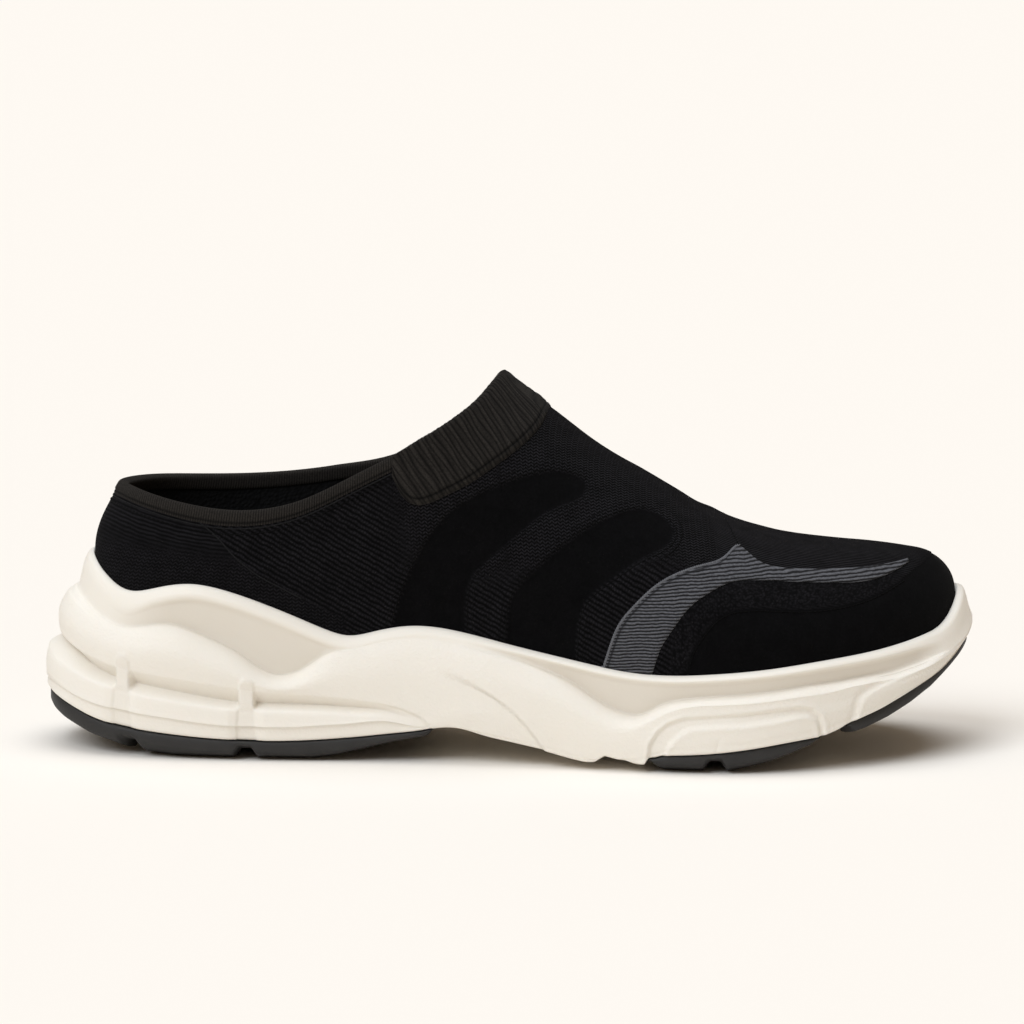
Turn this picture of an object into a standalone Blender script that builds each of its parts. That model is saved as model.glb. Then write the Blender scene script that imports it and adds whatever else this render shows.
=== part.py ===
"""A right-foot knit slip-on shoe with a sculpted foam midsole, standing empty on its sole.

Frame: +X to the toe, +Y to the inner (medial) side, +Z up, the floor at Z = 0 and the origin
under the middle of the shoe's box. Metres throughout.

The plan and every line round the shoe are smooth curves over one turn: 0 at the back of the
heel, half a turn at the toe, the outer (lateral) side first and the inner side back. "along" is
a share of LENGTH from the heel. The upper is a fan of ribs, each a Bezier from the midsole's rim
to the collar or, in front of the opening, to the ridge over the instep and toes.
"""
import functools
import math

import bmesh
import bpy
import numpy as np
from mathutils import Vector

# Driving sizes
LENGTH = 0.300         # sole, heel to toe
BALL_WIDTH = 0.105     # sole across the ball
HEEL_WIDTH = 0.077     # sole across the heel
SOLE_HEIGHT = 0.063    # floor to the midsole's rim at the back of the heel
COLLAR_RISE = 0.0224   # that rim to the collar, at the back of the heel
CUFF_RISE = 0.0364     # back of the collar to the peak of the cuff
SCULPT = 0.010         # depth that the forms of the midsole's side are shares of
RIM_LIP = 0.0030       # rounded lip below the midsole's top edge
WALL = 0.0024          # knit and lining of the upper
BAND = 0.0050          # height of the collar's binding
BINDING_PROUD = 0.0006  # binding outside and inside the wall
CUFF_THICK = 0.0012    # ribbed cuff laid over the instep
ACCENT_THICK = 0.0006  # accent panel laid over the forefoot
INSOLE_THICK = 0.0045
INSOLE_GAP = 0.0009    # from its edge to the upper's inner face
INSOLE_ROUND = 0.25    # share of its thickness taken off its upper edge
TREAD_NOTCH = 0.0022   # depth of the cross grooves in the rubber
GROOVE_WIDTH = 0.0045  # cross grooves, and the ribs of the side above them
GROOVE_RAMP = 0.0012   # sloping side of a groove or rib
NOTCH_SHARE = 0.6      # and at most this share of the rubber's thickness
RUBBER_ROUND = 0.0024  # how far the rubber's lower edge stands in
ROUND_SHARE = 0.45     # share of the rubber's height over which it does
CLEARANCE = 0.0003     # between touching pieces
OVERLAY_GAP = 0.00045  # under a layer on the curved upper

STATIONS = 36          # ribs and midsole sections a side
CUFF_START = 0.85      # share of the opening's half turn where the cuff meets the binding
RIM_STEP = 0.002       # turn over which the wall's top steps up from binding to cuff
BINDING_END = 0.010    # turn between the binding's end and the cuff
CROWDED = 0.012        # turn that even stations keep from the ones placed by hand
MERGED = 0.002         # turn within which two of those become one
APEX_ALONG = 0.51      # station under the peak of the cuff
WAIST = (0.25, 0.70)   # where the width changes from the heel's to the ball's

# Plan of the sole: half widths as shares of the local width, which runs from HEEL_WIDTH to
# BALL_WIDTH. At the toe the two sides meet off the middle, towards the big toe.
PLAN = (  # along, lateral, medial
    (0.00, 0.000, 0.000), (0.03, 0.312, 0.312), (0.08, 0.435, 0.435), (0.16, 0.500, 0.500),
    (0.27, 0.512, 0.492), (0.40, 0.475, 0.415), (0.50, 0.461, 0.380), (0.60, 0.473, 0.404),
    (0.70, 0.495, 0.467), (0.76, 0.490, 0.505), (0.82, 0.452, 0.514), (0.88, 0.371, 0.481),
    (0.94, 0.250, 0.405), (0.98, 0.108, 0.292), (1.00, -0.105, 0.105))

# Midsole's top edge, where the upper comes out: hundredths of SOLE_HEIGHT
FEATHER = (  # along, lateral, medial
    (0.00, 100.0, 100.0), (0.03, 94.5, 94.5), (0.057, 88.7, 88.7), (0.075, 85.0, 85.0),
    (0.095, 83.5, 83.5), (0.128, 86.3, 86.3), (0.17, 88.4, 88.4), (0.20, 86.0, 86.5),
    (0.235, 81.0, 82.0), (0.283, 72.2, 74.5), (0.313, 66.3, 69.5), (0.337, 63.5, 66.5),
    (0.363, 65.7, 67.5), (0.404, 69.0, 69.5), (0.45, 67.0, 68.0), (0.50, 61.6, 63.5),
    (0.573, 54.3, 56.0), (0.627, 49.8, 51.5), (0.68, 48.4, 49.5), (0.72, 49.2, 49.8),
    (0.78, 51.4, 52.5), (0.845, 54.8, 56.5), (0.893, 57.3, 60.5), (0.93, 60.0, 65.5),
    (0.965, 63.6, 71.5), (0.985, 67.0, 75.0), (1.00, 77.0, 77.0))

# Lines round the midsole's side, from top to bottom, the same on both sides: hundredths of
# SOLE_HEIGHT. "crest" is measured down from the top edge. It is the lower edge of the two
# hollow panels, which a wave divides; under it the foam bulges out. From the heel to the waist
# a groove lies between the bulge and a lower block with a thin step; "edge" is the foam's foot.
SIDE = (  # along, crest, chamfer, groove, block, step, edge
    (0.000, 18.5, 59.0, 57.0, 52.0, 33.0, 27.5), (0.020, 18.5, 55.0, 51.0, 45.5, 31.0, 23.0),
    (0.045, 19.5, 50.5, 44.0, 40.0, 26.5, 17.5), (0.075, 18.5, 46.5, 39.5, 36.0, 23.0, 13.5),
    (0.105, 18.0, 43.8, 37.0, 33.0, 20.8, 11.3), (0.145, 20.5, 41.5, 34.0, 30.3, 18.2, 9.3),
    (0.180, 26.0, 39.0, 31.5, 28.0, 16.2, 8.0), (0.220, 30.5, 36.5, 29.0, 26.3, 14.8, 7.2),
    (0.257, 34.3, 34.5, 28.5, 25.8, 14.7, 7.0), (0.288, 25.0, 33.8, 28.4, 25.6, 15.1, 7.5),
    (0.320, 9.5, 33.0, 28.0, 25.3, 16.8, 8.6), (0.345, 6.0, 32.0, 27.5, 24.9, 18.5, 9.8),
    (0.380, 5.7, 29.5, 26.3, 24.2, 20.6, 12.0), (0.410, 5.7, 27.0, 23.5, 21.3, 18.8, 14.0),
    (0.455, 5.7, 33.0, 26.5, 22.5, 19.0, 16.0), (0.480, 5.7, 34.5, 27.0, 22.0, 17.0, 12.8),
    (0.510, 5.8, 33.5, 26.0, 20.0, 14.5, 9.8), (0.545, 8.0, 31.0, 23.5, 17.5, 11.8, 6.6),
    (0.573, 11.6, 27.0, 20.5, 14.5, 8.8, 3.7), (0.601, 17.5, 22.0, 16.5, 11.0, 6.0, 2.0),
    (0.633, 21.5, 20.5, 16.0, 11.5, 7.0, 2.6), (0.649, 20.0, 23.0, 18.5, 14.0, 8.0, 2.8),
    (0.664, 15.5, 26.5, 22.5, 18.0, 10.5, 4.6), (0.690, 10.8, 32.5, 28.0, 23.5, 14.0, 6.0),
    (0.720, 9.7, 34.5, 29.5, 25.3, 16.0, 7.0), (0.770, 10.2, 35.5, 30.5, 26.2, 18.0, 10.0),
    (0.820, 9.8, 38.0, 33.5, 29.3, 22.0, 13.8), (0.845, 9.3, 39.0, 34.2, 30.2, 23.5, 16.0),
    (0.870, 8.3, 42.0, 36.5, 33.0, 27.5, 21.0), (0.900, 7.7, 46.0, 41.0, 37.5, 32.0, 26.0),
    (0.930, 7.2, 50.0, 45.5, 42.5, 38.0, 32.5), (0.960, 7.0, 53.3, 50.0, 47.6, 44.5, 40.0),
    (1.000, 7.2, 62.5, 60.5, 59.0, 57.7, 56.3))

# How far each of those lines stands in from the plan: shares of SCULPT
INSET = (  # along, feather, rim, crest, shoulder, belly, chamfer, groove, block, step, edge
    (0.00, 1.50, 1.18, 0.98, 0.63, 0.37, 0.40, 0.68, 0.12, 0.00, 0.06),
    (0.05, 1.20, 0.90, 0.80, 0.50, 0.30, 0.34, 0.62, 0.10, 0.00, 0.06),
    (0.12, 0.93, 0.66, 0.70, 0.36, 0.22, 0.29, 0.54, 0.08, 0.00, 0.06),
    (0.18, 0.85, 0.58, 0.72, 0.32, 0.20, 0.27, 0.50, 0.07, 0.00, 0.06),
    (0.26, 0.80, 0.53, 0.68, 0.32, 0.22, 0.27, 0.48, 0.07, 0.00, 0.06),
    (0.33, 0.75, 0.48, 0.44, 0.28, 0.14, 0.20, 0.36, 0.08, 0.00, 0.07),
    (0.40, 0.73, 0.46, 0.36, 0.26, 0.09, 0.08, 0.12, 0.06, 0.04, 0.10),
    (0.46, 0.72, 0.45, 0.34, 0.24, 0.06, 0.01, 0.00, 0.04, 0.10, 0.20),
    (0.54, 0.70, 0.43, 0.46, 0.22, 0.05, 0.00, 0.01, 0.05, 0.11, 0.20),
    (0.62, 0.68, 0.41, 0.52, 0.26, 0.10, 0.02, 0.00, 0.02, 0.05, 0.14),
    (0.70, 0.64, 0.38, 0.42, 0.20, 0.12, 0.10, 0.08, 0.00, 0.00, 0.06),
    (0.80, 0.62, 0.36, 0.36, 0.18, 0.11, 0.10, 0.08, 0.00, 0.00, 0.06),
    (0.86, 0.60, 0.34, 0.32, 0.16, 0.09, 0.07, 0.06, 0.02, 0.03, 0.08),
    (0.93, 0.58, 0.32, 0.27, 0.12, 0.06, 0.03, 0.03, 0.00, 0.02, 0.08),
    (1.00, 0.50, 0.24, 0.15, 0.06, 0.00, 0.02, 0.05, 0.09, 0.15, 0.22))

LIP = ((0.08, 0.15), (0.00, 0.55), (0.02, 1.00))   # its lines: shares of SCULPT in, of RIM_LIP down
RIB_INSET = 0.5        # how far in the side's ribs stand, as a share of the bulge's own inset
SHOULDER_DROP = 2.5    # hundredths of SOLE_HEIGHT from the crest to the bulge's bright shoulder
SIDE_RIBS = (0.0865, 0.217)      # along, upright ribs that bridge the heel's groove
HEEL_NOTCHES = (0.0925, 0.222)   # along, cross grooves of the heel's rubber
BALL_NOTCH = 0.727               # along, cross groove of the forefoot's rubber

# Board that the insole lies on, and the rubber's lowest line: hundredths of SOLE_HEIGHT
SEAT = (  # along, height
    (0.00, 54.0), (0.10, 53.0), (0.20, 51.0), (0.30, 48.0), (0.40, 45.5), (0.50, 42.0),
    (0.60, 38.0), (0.70, 35.0), (0.78, 36.0), (0.86, 41.0), (0.92, 47.0), (0.96, 52.0),
    (1.00, 57.5))
HEEL_TREAD = (  # along, height of the heel's rubber
    (0.000, 15.0), (0.020, 10.0), (0.045, 4.6), (0.075, 1.6), (0.110, 0.5), (0.150, 0.0),
    (0.300, 0.0), (0.325, 1.8), (0.350, 4.8), (0.380, 8.6), (0.405, 11.4))
BALL_TREAD = (  # along, height of the forefoot's rubber
    (0.657, 1.6), (0.672, 0.0), (0.745, 0.0), (0.765, 1.6), (0.790, 4.2), (0.815, 8.0),
    (0.832, 11.8))
TOE_TREAD = (  # along, height of the toe's rubber
    (0.846, 13.2), (0.870, 15.6), (0.890, 18.2), (0.914, 22.8), (0.938, 28.6), (0.960, 35.0),
    (0.985, 45.5), (1.000, 51.0))

# Collar's rim. "turn" is the share of the half turn from the heel to the cuff's peak, the
# widths are shares of HEEL_WIDTH, and the lifts are shares of CUFF_RISE above the back.
COLLAR = (  # turn, along, lateral width, medial width, lateral lift, medial lift
    (0.00, 0.0800, 0.000, 0.000, 0.000, 0.000), (0.20, 0.0917, 0.130, 0.130, -0.005, 0.000),
    (0.35, 0.1200, 0.253, 0.260, -0.052, -0.016), (0.50, 0.1767, 0.344, 0.355, -0.140, -0.038),
    (0.60, 0.2267, 0.380, 0.393, -0.160, -0.033), (0.70, 0.2867, 0.390, 0.403, -0.058, 0.016),
    (0.80, 0.3533, 0.371, 0.390, 0.209, 0.154), (0.88, 0.4117, 0.325, 0.350, 0.450, 0.385),
    (0.94, 0.4567, 0.245, 0.280, 0.655, 0.600), (0.97, 0.4793, 0.170, 0.212, 0.810, 0.775),
    (1.00, 0.4947, -0.026, 0.026, 0.960, 0.960))

# Ridge of the last: from above the opening down to the cuff's peak at turn 0, then over the
# instep to the top of the toes at turn 1. "offset" is a share of BALL_WIDTH towards the big toe,
# "rise" a share of the upper's whole rise above the midsole's back rim. The other columns shape
# the ribs that end on it: how far each end's handle reaches, as shares of the rib's height and
# of its span, how far its foot flares out and how far its top leans down from level (degrees).
RIDGE = (  # turn, along, offset, rise, foot reach, flare, top reach, lean
    (-0.20, 0.3300, 0.019, 1.820, 0.29, 2.0, 0.32, 12.0),
    (-0.12, 0.3940, 0.019, 1.440, 0.30, 2.5, 0.32, 11.0),
    (-0.06, 0.4440, 0.019, 1.190, 0.31, 3.0, 0.32, 10.0),
    (0.00, 0.4947, 0.019, 0.975, 0.33, 3.0, 0.33, 9.0),
    (0.06, 0.5450, 0.019, 0.798, 0.34, 3.5, 0.33, 7.0),
    (0.12, 0.5883, 0.019, 0.630, 0.36, 4.0, 0.34, 5.0),
    (0.20, 0.6450, 0.019, 0.450, 0.40, 5.0, 0.38, 2.0),
    (0.30, 0.7133, 0.024, 0.247, 0.46, 6.0, 0.42, 0.0),
    (0.40, 0.7733, 0.033, 0.137, 0.49, 7.0, 0.45, 0.0),
    (0.50, 0.8250, 0.048, 0.090, 0.50, 7.0, 0.475, 0.0),
    (0.60, 0.8667, 0.062, 0.067, 0.515, 6.2, 0.49, 0.0),
    (0.70, 0.8983, 0.076, 0.050, 0.52, 5.5, 0.485, 0.0),
    (0.80, 0.9200, 0.086, 0.036, 0.52, 4.8, 0.46, 0.0),
    (0.90, 0.9327, 0.093, 0.027, 0.525, 4.2, 0.42, 0.0),
    (1.00, 0.9367, 0.095, 0.023, 0.53, 4.0, 0.40, 0.0))

# Ribs round the opening, with the same columns, by the share of the half turn from the heel to
# the cuff's peak. Those near the peak are the last's own, cut off along the collar.
RIBS = (  # turn, foot reach, flare, top reach, lean
    (0.00, 0.40, 1.0, 0.33, 62.0), (0.20, 0.385, 1.8, 0.32, 66.0), (0.40, 0.36, 4.0, 0.30, 76.0),
    (0.58, 0.33, 8.0, 0.29, 86.0), (0.78, 0.35, 5.0, 0.30, 76.0), (0.90, 0.34, 4.0, 0.28, 64.0),
    (1.00, 0.34, 3.0, 0.27, 50.0))
BLEND = (0.74, 0.93)   # turn where the ribs round the opening become the last's

# Cuff: from a place on the rim to one on its lower edge, whose "rise" is a share of the upper's
# whole rise above the midsole's back rim. The first columns fan out round its lower back corner.
CUFF = (  # turn on the rim, along of the lower edge, rise
    (CUFF_START, 0.3885, 0.485), (0.858, 0.396, 0.400), (0.868, 0.405, 0.345),
    (0.885, 0.421, 0.325), (0.910, 0.448, 0.374), (0.935, 0.477, 0.442), (0.958, 0.505, 0.527),
    (0.975, 0.530, 0.612), (0.985, 0.546, 0.680), (0.993, 0.554, 0.730), (1.000, 0.5565, 0.770))
CUFF_ROWS = 5
CUFF_COLUMNS = 18

# Accent panel, from the midsole's rim at the ball up and forward to its tip: where its outer
# and inner edges lie, with heights as for the cuff
ACCENT = (  # outer along, outer height, inner along, inner height
    (0.605, 0.02, 0.658, 0.02), (0.622, 0.19, 0.668, 0.13), (0.645, 0.34, 0.684, 0.26),
    (0.678, 0.51, 0.705, 0.41), (0.717, 0.66, 0.728, 0.53), (0.745, 0.76, 0.744, 0.60),
    (0.762, 0.86, 0.758, 0.64), (0.777, 0.81, 0.772, 0.66), (0.800, 0.77, 0.795, 0.675),
    (0.845, 0.78, 0.845, 0.68), (0.890, 0.80, 0.890, 0.685), (0.925, 0.83, 0.922, 0.745),
    (0.950, 0.86, 0.950, 0.835))
ACCENT_ROWS = 4
ACCENT_COLUMNS = 24

FOAM = ("midsole_foam", "#EDE8DD", 0.62)
RUBBER = ("outsole_rubber", "#2E2D2C", 0.70)
KNIT = ("upper_knit", "#0E0E10", 0.90)
RIBBED = ("ribbed_knit", "#1C1A19", 0.90)
GREY_KNIT = ("accent_knit", "#55565B", 0.85)
LINING = ("insole_fabric", "#161617", 0.90)

HALF_TURN = math.pi
FULL_TURN = 2 * math.pi


def smooth_curve(knots, values, flat=False):
    """Cubic spline through the values, with free ends or ends of no slope."""
    x = np.array(knots, float)
    y = np.array(values, float)
    gap = np.diff(x)
    rate = np.diff(y) / gap
    system = np.eye(len(x))
    target = np.zeros(len(x))
    for i in range(1, len(x) - 1):
        system[i, i - 1:i + 2] = gap[i - 1], 2 * (gap[i - 1] + gap[i]), gap[i]
        target[i] = 6 * (rate[i] - rate[i - 1])
    if flat:
        system[0, :2] = 2 * gap[0], gap[0]
        system[-1, -2:] = gap[-1], 2 * gap[-1]
        target[0] = 6 * rate[0]
        target[-1] = -6 * rate[-1]
    bend = np.linalg.solve(system, target)

    def value(at):
        i = min(max(int(np.searchsorted(x, at)) - 1, 0), len(x) - 2)
        left = at - x[i]
        right = x[i + 1] - at
        cubic = (bend[i] * right ** 3 + bend[i + 1] * left ** 3) / (6 * gap[i])
        line = (y[i] / gap[i] - bend[i] * gap[i] / 6) * right
        return cubic + line + (y[i + 1] / gap[i] - bend[i + 1] * gap[i] / 6) * left

    return value


def turn_at(along):
    """Turn of the station at a share of the length: 0 at the heel, half a turn at the toe."""
    return math.acos(1 - 2 * min(max(along, 0.0), 1.0))


def along_at(turn):
    return (1 - math.cos(turn)) / 2


def ring_curve(rows, lateral, medial):
    """Smooth closed curve over the full turn through a table's lateral and medial columns."""
    knots = [turn_at(row[0]) for row in rows]
    values = [row[lateral] for row in rows]
    knots += [FULL_TURN - turn_at(row[0]) for row in rows[-2:0:-1]]
    values += [row[medial] for row in rows[-2:0:-1]]
    three = [knot + lap * FULL_TURN for lap in (-1, 0, 1) for knot in knots]
    curve = smooth_curve(three, values * 3)
    return lambda turn: curve(turn % FULL_TURN)


def both_sides(rows, column):
    return ring_curve(rows, column, column)


def local_width(turn):
    share = (along_at(turn) - WAIST[0]) / (WAIST[1] - WAIST[0])
    share = min(max(share, 0.0), 1.0)
    return HEEL_WIDTH + (BALL_WIDTH - HEEL_WIDTH) * share * share * (3 - 2 * share)


def signed_plan():
    """Plan rows with the lateral half widths made negative, for one closed curve."""
    return [(row[0], -row[1], row[2]) for row in PLAN]


plan_share = ring_curve(signed_plan(), 1, 2)
feather_share = ring_curve(FEATHER, 1, 2)
side_share = {name: both_sides(SIDE, column) for column, name in
              enumerate(("crest", "chamfer", "groove", "block", "step", "edge"), 1)}
inset_share = {name: both_sides(INSET, column) for column, name in
               enumerate(("feather", "rim", "crest", "shoulder", "belly", "chamfer", "groove",
                          "block", "step", "edge"), 1)}
seat_share = both_sides(SEAT, 1)


def raw_half(turn):
    return plan_share(turn) * local_width(turn)


def plan_shift():
    """Sideways move that puts the middle of the plan's width at Y = 0."""
    widths = [raw_half(FULL_TURN * i / 720) for i in range(720)]
    return -(max(widths) + min(widths)) / 2


SHIFT = plan_shift()
SMALL_TURN = 0.001
RIDGE_STEP = 0.01


def plan_point(turn):
    return Vector((-LENGTH / 2 * math.cos(turn), raw_half(turn) + SHIFT, 0))


def outward(turn):
    """Level unit vector that points out of the plan."""
    run = plan_point(turn + SMALL_TURN) - plan_point(turn - SMALL_TURN)
    return Vector((run.y, -run.x, 0)).normalized()


def hundredths(share):
    return share * SOLE_HEIGHT / 100


def side_point(turn, inset, height):
    """Point at a height, the inset inside the plan."""
    point = plan_point(turn) - outward(turn) * inset
    point.z = height
    return point


def feather_inset(turn):
    return inset_share["feather"](turn) * SCULPT


def feather_height(turn):
    return hundredths(feather_share(turn))


def seat_height(turn):
    return hundredths(seat_share(turn))


def edge_height(turn):
    return hundredths(side_share["edge"](turn))


def edge_inset(turn):
    return inset_share["edge"](turn) * SCULPT


def bump(along, centre):
    """1 on a rib or notch, 0 away from it, with a ramp between."""
    away = abs(along - centre) * LENGTH - GROOVE_WIDTH / 2
    return min(max(1 - away / GROOVE_RAMP, 0.0), 1.0)


def bump_stations(centre):
    half = GROOVE_WIDTH / 2 / LENGTH
    ramp = GROOVE_RAMP / LENGTH
    return [turn_at(centre + off) for off in (-half - ramp, -half, half, half + ramp)]


def with_extras(turns, extras):
    """Sorted stations: the extra ones, and those of the others that aren't crowded by them."""
    kept = [turn for turn in turns if all(abs(turn - extra) > CROWDED for extra in extras)]
    return sorted(kept + list(extras))


EVEN = [HALF_TURN * i / STATIONS for i in range(STATIONS + 1)]


def sole_stations():
    """Stations of the sole: the upper's, the ends of the rubber and the sides of each groove."""
    extras = []
    for centre in SIDE_RIBS + HEEL_NOTCHES + (BALL_NOTCH,):
        extras += bump_stations(centre)
    for rows in (HEEL_TREAD, BALL_TREAD, TOE_TREAD):
        extras += [turn_at(rows[0][0]), turn_at(rows[-1][0])]
    fine = [extra for extra in sorted(set(extras)) if 0 < extra < HALF_TURN]
    apart = fine[:1]
    for extra in fine[1:]:
        if extra - apart[-1] > MERGED:
            apart.append(extra)
    return with_extras(EVEN, apart)


SOLE = sole_stations()


def midsole_lines(turn):
    """Inset and height of each line of the midsole's outer side, top to bottom."""
    rib = max(bump(along_at(turn), centre) for centre in SIDE_RIBS)
    feather = feather_share(turn)
    share = {name: curve(turn) for name, curve in side_share.items()}
    inset = {name: curve(turn) for name, curve in inset_share.items()}
    crest = feather - share["crest"]
    shoulder = crest - SHOULDER_DROP
    belly = (shoulder + share["chamfer"]) / 2
    proud = inset["belly"] * RIB_INSET
    for name in ("chamfer", "groove", "block"):
        inset[name] += (min(proud, inset[name]) - inset[name]) * rib
    lip = 100 * RIM_LIP / SOLE_HEIGHT
    rounded = [(inset["rim"] + in_by, feather - lip * drop) for in_by, drop in LIP]
    return [(inset["feather"], feather), *rounded, (inset["crest"], crest), (inset["shoulder"], shoulder), (inset["belly"], belly),
            (inset["chamfer"], share["chamfer"]), (inset["groove"], share["groove"]),
            (inset["block"], share["block"]), (inset["step"], share["step"]),
            (inset["edge"], share["edge"])]


def ring_of(stations):
    """Turns of a closed ring: out along the lateral side and back along the medial one."""
    return stations + [FULL_TURN - turn for turn in stations[-2:0:-1]]


def solid_from_rings(name, rings, first, last, material):
    """Closed body from rings of points, top to bottom, each capped by strips across the shoe.

    "first" and "last" say whether the ring's first and last stations are single points (the
    heel's back, the toe's tip) or pairs, one a side.
    """
    mesh = bmesh.new()
    loops = [[mesh.verts.new(point) for point in ring] for ring in rings]
    count = len(loops[0])
    for above, below in zip(loops, loops[1:]):
        for i in range(count):
            j = (i + 1) % count
            mesh.faces.new((above[i], below[i], below[j], above[j]))
    pairs = ladder_pairs(count, first, last)
    for loop, upward in ((loops[0], True), (loops[-1], False)):
        for (a, b), (c, d) in zip(pairs, pairs[1:]):
            corners = [loop[index] for index in dict.fromkeys((a, c, d, b))]
            mesh.faces.new(corners if upward else corners[::-1])
    return finish_mesh(name, mesh, material)


def ladder_pairs(count, first, last):
    """Index pairs, lateral and medial, of a ring's stations from heel to toe."""
    pairs = []
    if first:
        near, far = 1, count - 1
        pairs.append((0, 0))
    else:
        near, far = 0, count - 1
    while near < far:
        pairs.append((near, far))
        near += 1
        far -= 1
    if near == far:
        pairs.append((near, near))
    return pairs


def finish_mesh(name, mesh, material):
    """Object from a bmesh: merged, turned outwards, shaded smooth, with its material."""
    bmesh.ops.remove_doubles(mesh, verts=mesh.verts, dist=1e-6)
    bmesh.ops.recalc_face_normals(mesh, faces=mesh.faces)
    data = bpy.data.meshes.new(name)
    mesh.to_mesh(data)
    mesh.free()
    data.shade_smooth()
    data.set_sharp_from_angle(angle=math.radians(35))
    data.materials.append(material)
    thing = bpy.data.objects.new(name, data)
    parts.objects.link(thing)
    return thing


def sole_ring(stations, inset, height):
    """Ring of points from functions of the turn; both sides of each station."""
    lateral = list(stations)
    medial = [FULL_TURN - turn for turn in reversed(stations) if 0 < turn < HALF_TURN]
    return [side_point(turn, inset(turn), height(turn)) for turn in lateral + medial]


def make_midsole(material):
    """Cup for the foot, rim, hollow panels, bulge, grooved heel block and arched underside."""
    rings = [sole_ring(SOLE, feather_inset, seat_height)]
    lines = {turn: midsole_lines(turn) for turn in ring_of(SOLE)}
    for row in range(len(lines[0])):
        rings.append([side_point(turn, lines[turn][row][0] * SCULPT,
                                 hundredths(lines[turn][row][1])) for turn in lines])
    return solid_from_rings("midsole", rings, True, True, material)


def make_outsole(name, rows, notches, material):
    """One rubber piece under the foam, with its cross grooves."""
    start = turn_at(rows[0][0])
    end = turn_at(rows[-1][0])
    stations = [turn for turn in SOLE if start - 0.001 <= turn <= end + 0.001]
    alongs = [row[0] for row in rows]
    heights = [row[1] for row in rows]

    def top(turn):
        return edge_height(turn) - CLEARANCE

    def tread(turn):
        along = along_at(turn)
        low = hundredths(float(np.interp(along, alongs, heights)))
        notch = max([bump(along, centre) for centre in notches], default=0.0)
        return low + min(TREAD_NOTCH, (top(turn) - low) * NOTCH_SHARE) * notch

    def wall_foot(turn):
        return tread(turn) + (top(turn) - tread(turn)) * ROUND_SHARE

    def tread_inset(turn):
        return edge_inset(turn) + RUBBER_ROUND

    rings = [sole_ring(stations, edge_inset, top), sole_ring(stations, edge_inset, wall_foot),
             sole_ring(stations, tread_inset, tread)]
    return solid_from_rings(name, rings, start == 0, end == HALF_TURN, material)


def make_insole(material):
    """Loose insole on the board, inside the upper's walls."""
    def inset(turn):
        return feather_inset(turn) + WALL + INSOLE_GAP

    def rounded(turn):
        return inset(turn) + INSOLE_THICK * INSOLE_ROUND

    def lower(turn):
        return seat_height(turn) + CLEARANCE

    def shoulder(turn):
        return lower(turn) + INSOLE_THICK * (1 - INSOLE_ROUND)

    def upper(turn):
        return lower(turn) + INSOLE_THICK

    rings = [sole_ring(EVEN, rounded, upper), sole_ring(EVEN, inset, shoulder),
             sole_ring(EVEN, inset, lower)]
    return solid_from_rings("insole", rings, True, True, material)


APEX = turn_at(APEX_ALONG)
CUFF_TURN = CUFF_START * APEX
COLLAR_HEIGHT = SOLE_HEIGHT + COLLAR_RISE


def columns_of(rows, *numbers):
    return [[row[number] for row in rows] for number in numbers]


collar_turns, collar_alongs = columns_of(COLLAR, 0, 1)
collar_along = smooth_curve(collar_turns, collar_alongs, flat=True)
collar_width = [smooth_curve(collar_turns, values) for values in columns_of(COLLAR, 2, 3)]
collar_lift = [smooth_curve(collar_turns, values, flat=True)
               for values in columns_of(COLLAR, 4, 5)]
collar_line = [smooth_curve(collar_alongs, values) for values in columns_of(COLLAR, 4, 5)]
ridge_turns = columns_of(RIDGE, 0)[0]
ridge_along, ridge_offset, ridge_rise = (smooth_curve(ridge_turns, values)
                                         for values in columns_of(RIDGE, 1, 2, 3))
last_shape = [smooth_curve(ridge_turns, values, flat=True)
              for values in columns_of(RIDGE, 4, 5, 6, 7)]
rib_shape = [smooth_curve(columns_of(RIBS, 0)[0], values, flat=True)
             for values in columns_of(RIBS, 1, 2, 3, 4)]


def folded(turn):
    """The same station's turn on the lateral side, and 1 if the turn is on the medial side."""
    turn = turn % FULL_TURN
    if turn > HALF_TURN:
        return FULL_TURN - turn, 1
    return turn, 0


def rim_point(share, medial):
    """Collar's rim at a share of the half turn from the heel to the cuff's peak."""
    sign = 1 if medial else -1
    lift = collar_lift[medial](share) * CUFF_RISE
    return Vector(((collar_along(share) - 0.5) * LENGTH,
                   sign * collar_width[medial](share) * HEEL_WIDTH + SHIFT,
                   COLLAR_HEIGHT + lift))


def ridge_point(share):
    return Vector(((ridge_along(share) - 0.5) * LENGTH, ridge_offset(share) * BALL_WIDTH + SHIFT,
                   SOLE_HEIGHT + ridge_rise(share) * (COLLAR_RISE + CUFF_RISE)))


def handles(turn, top, shape):
    """Handles of a rib from the midsole's rim to its top."""
    reach_up, flare, reach_out, lean = shape
    foot = side_point(turn, feather_inset(turn) + CLEARANCE, feather_height(turn))
    out = outward(turn)
    up = Vector((0, 0, 1))
    flare = math.radians(flare)
    lean = math.radians(lean)
    rise = reach_up * (top.z - foot.z)
    low = foot + (up * math.cos(flare) + out * math.sin(flare)) * rise
    reach = reach_out * (top - foot).length
    high = top + (out * math.cos(lean) - up * math.sin(lean)) * reach
    return [foot, low, high, top]


def opening_rib(turn):
    """Rib that ends on the collar's rim."""
    near, medial = folded(turn)
    share = near / APEX
    return handles(turn, rim_point(share, medial), [curve(share) for curve in rib_shape])


def last_rib(turn):
    """Rib that ends on the last's ridge."""
    near, medial = folded(turn)
    share = (near - APEX) / (HALF_TURN - APEX)
    top = ridge_point(share)
    rib = handles(turn, top, [curve(share) for curve in last_shape])
    step = ridge_point(min(share + RIDGE_STEP, 1.0)) - ridge_point(share - RIDGE_STEP)
    rib[2].z += step.z / step.x * (rib[2].x - top.x)
    return rib


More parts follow.
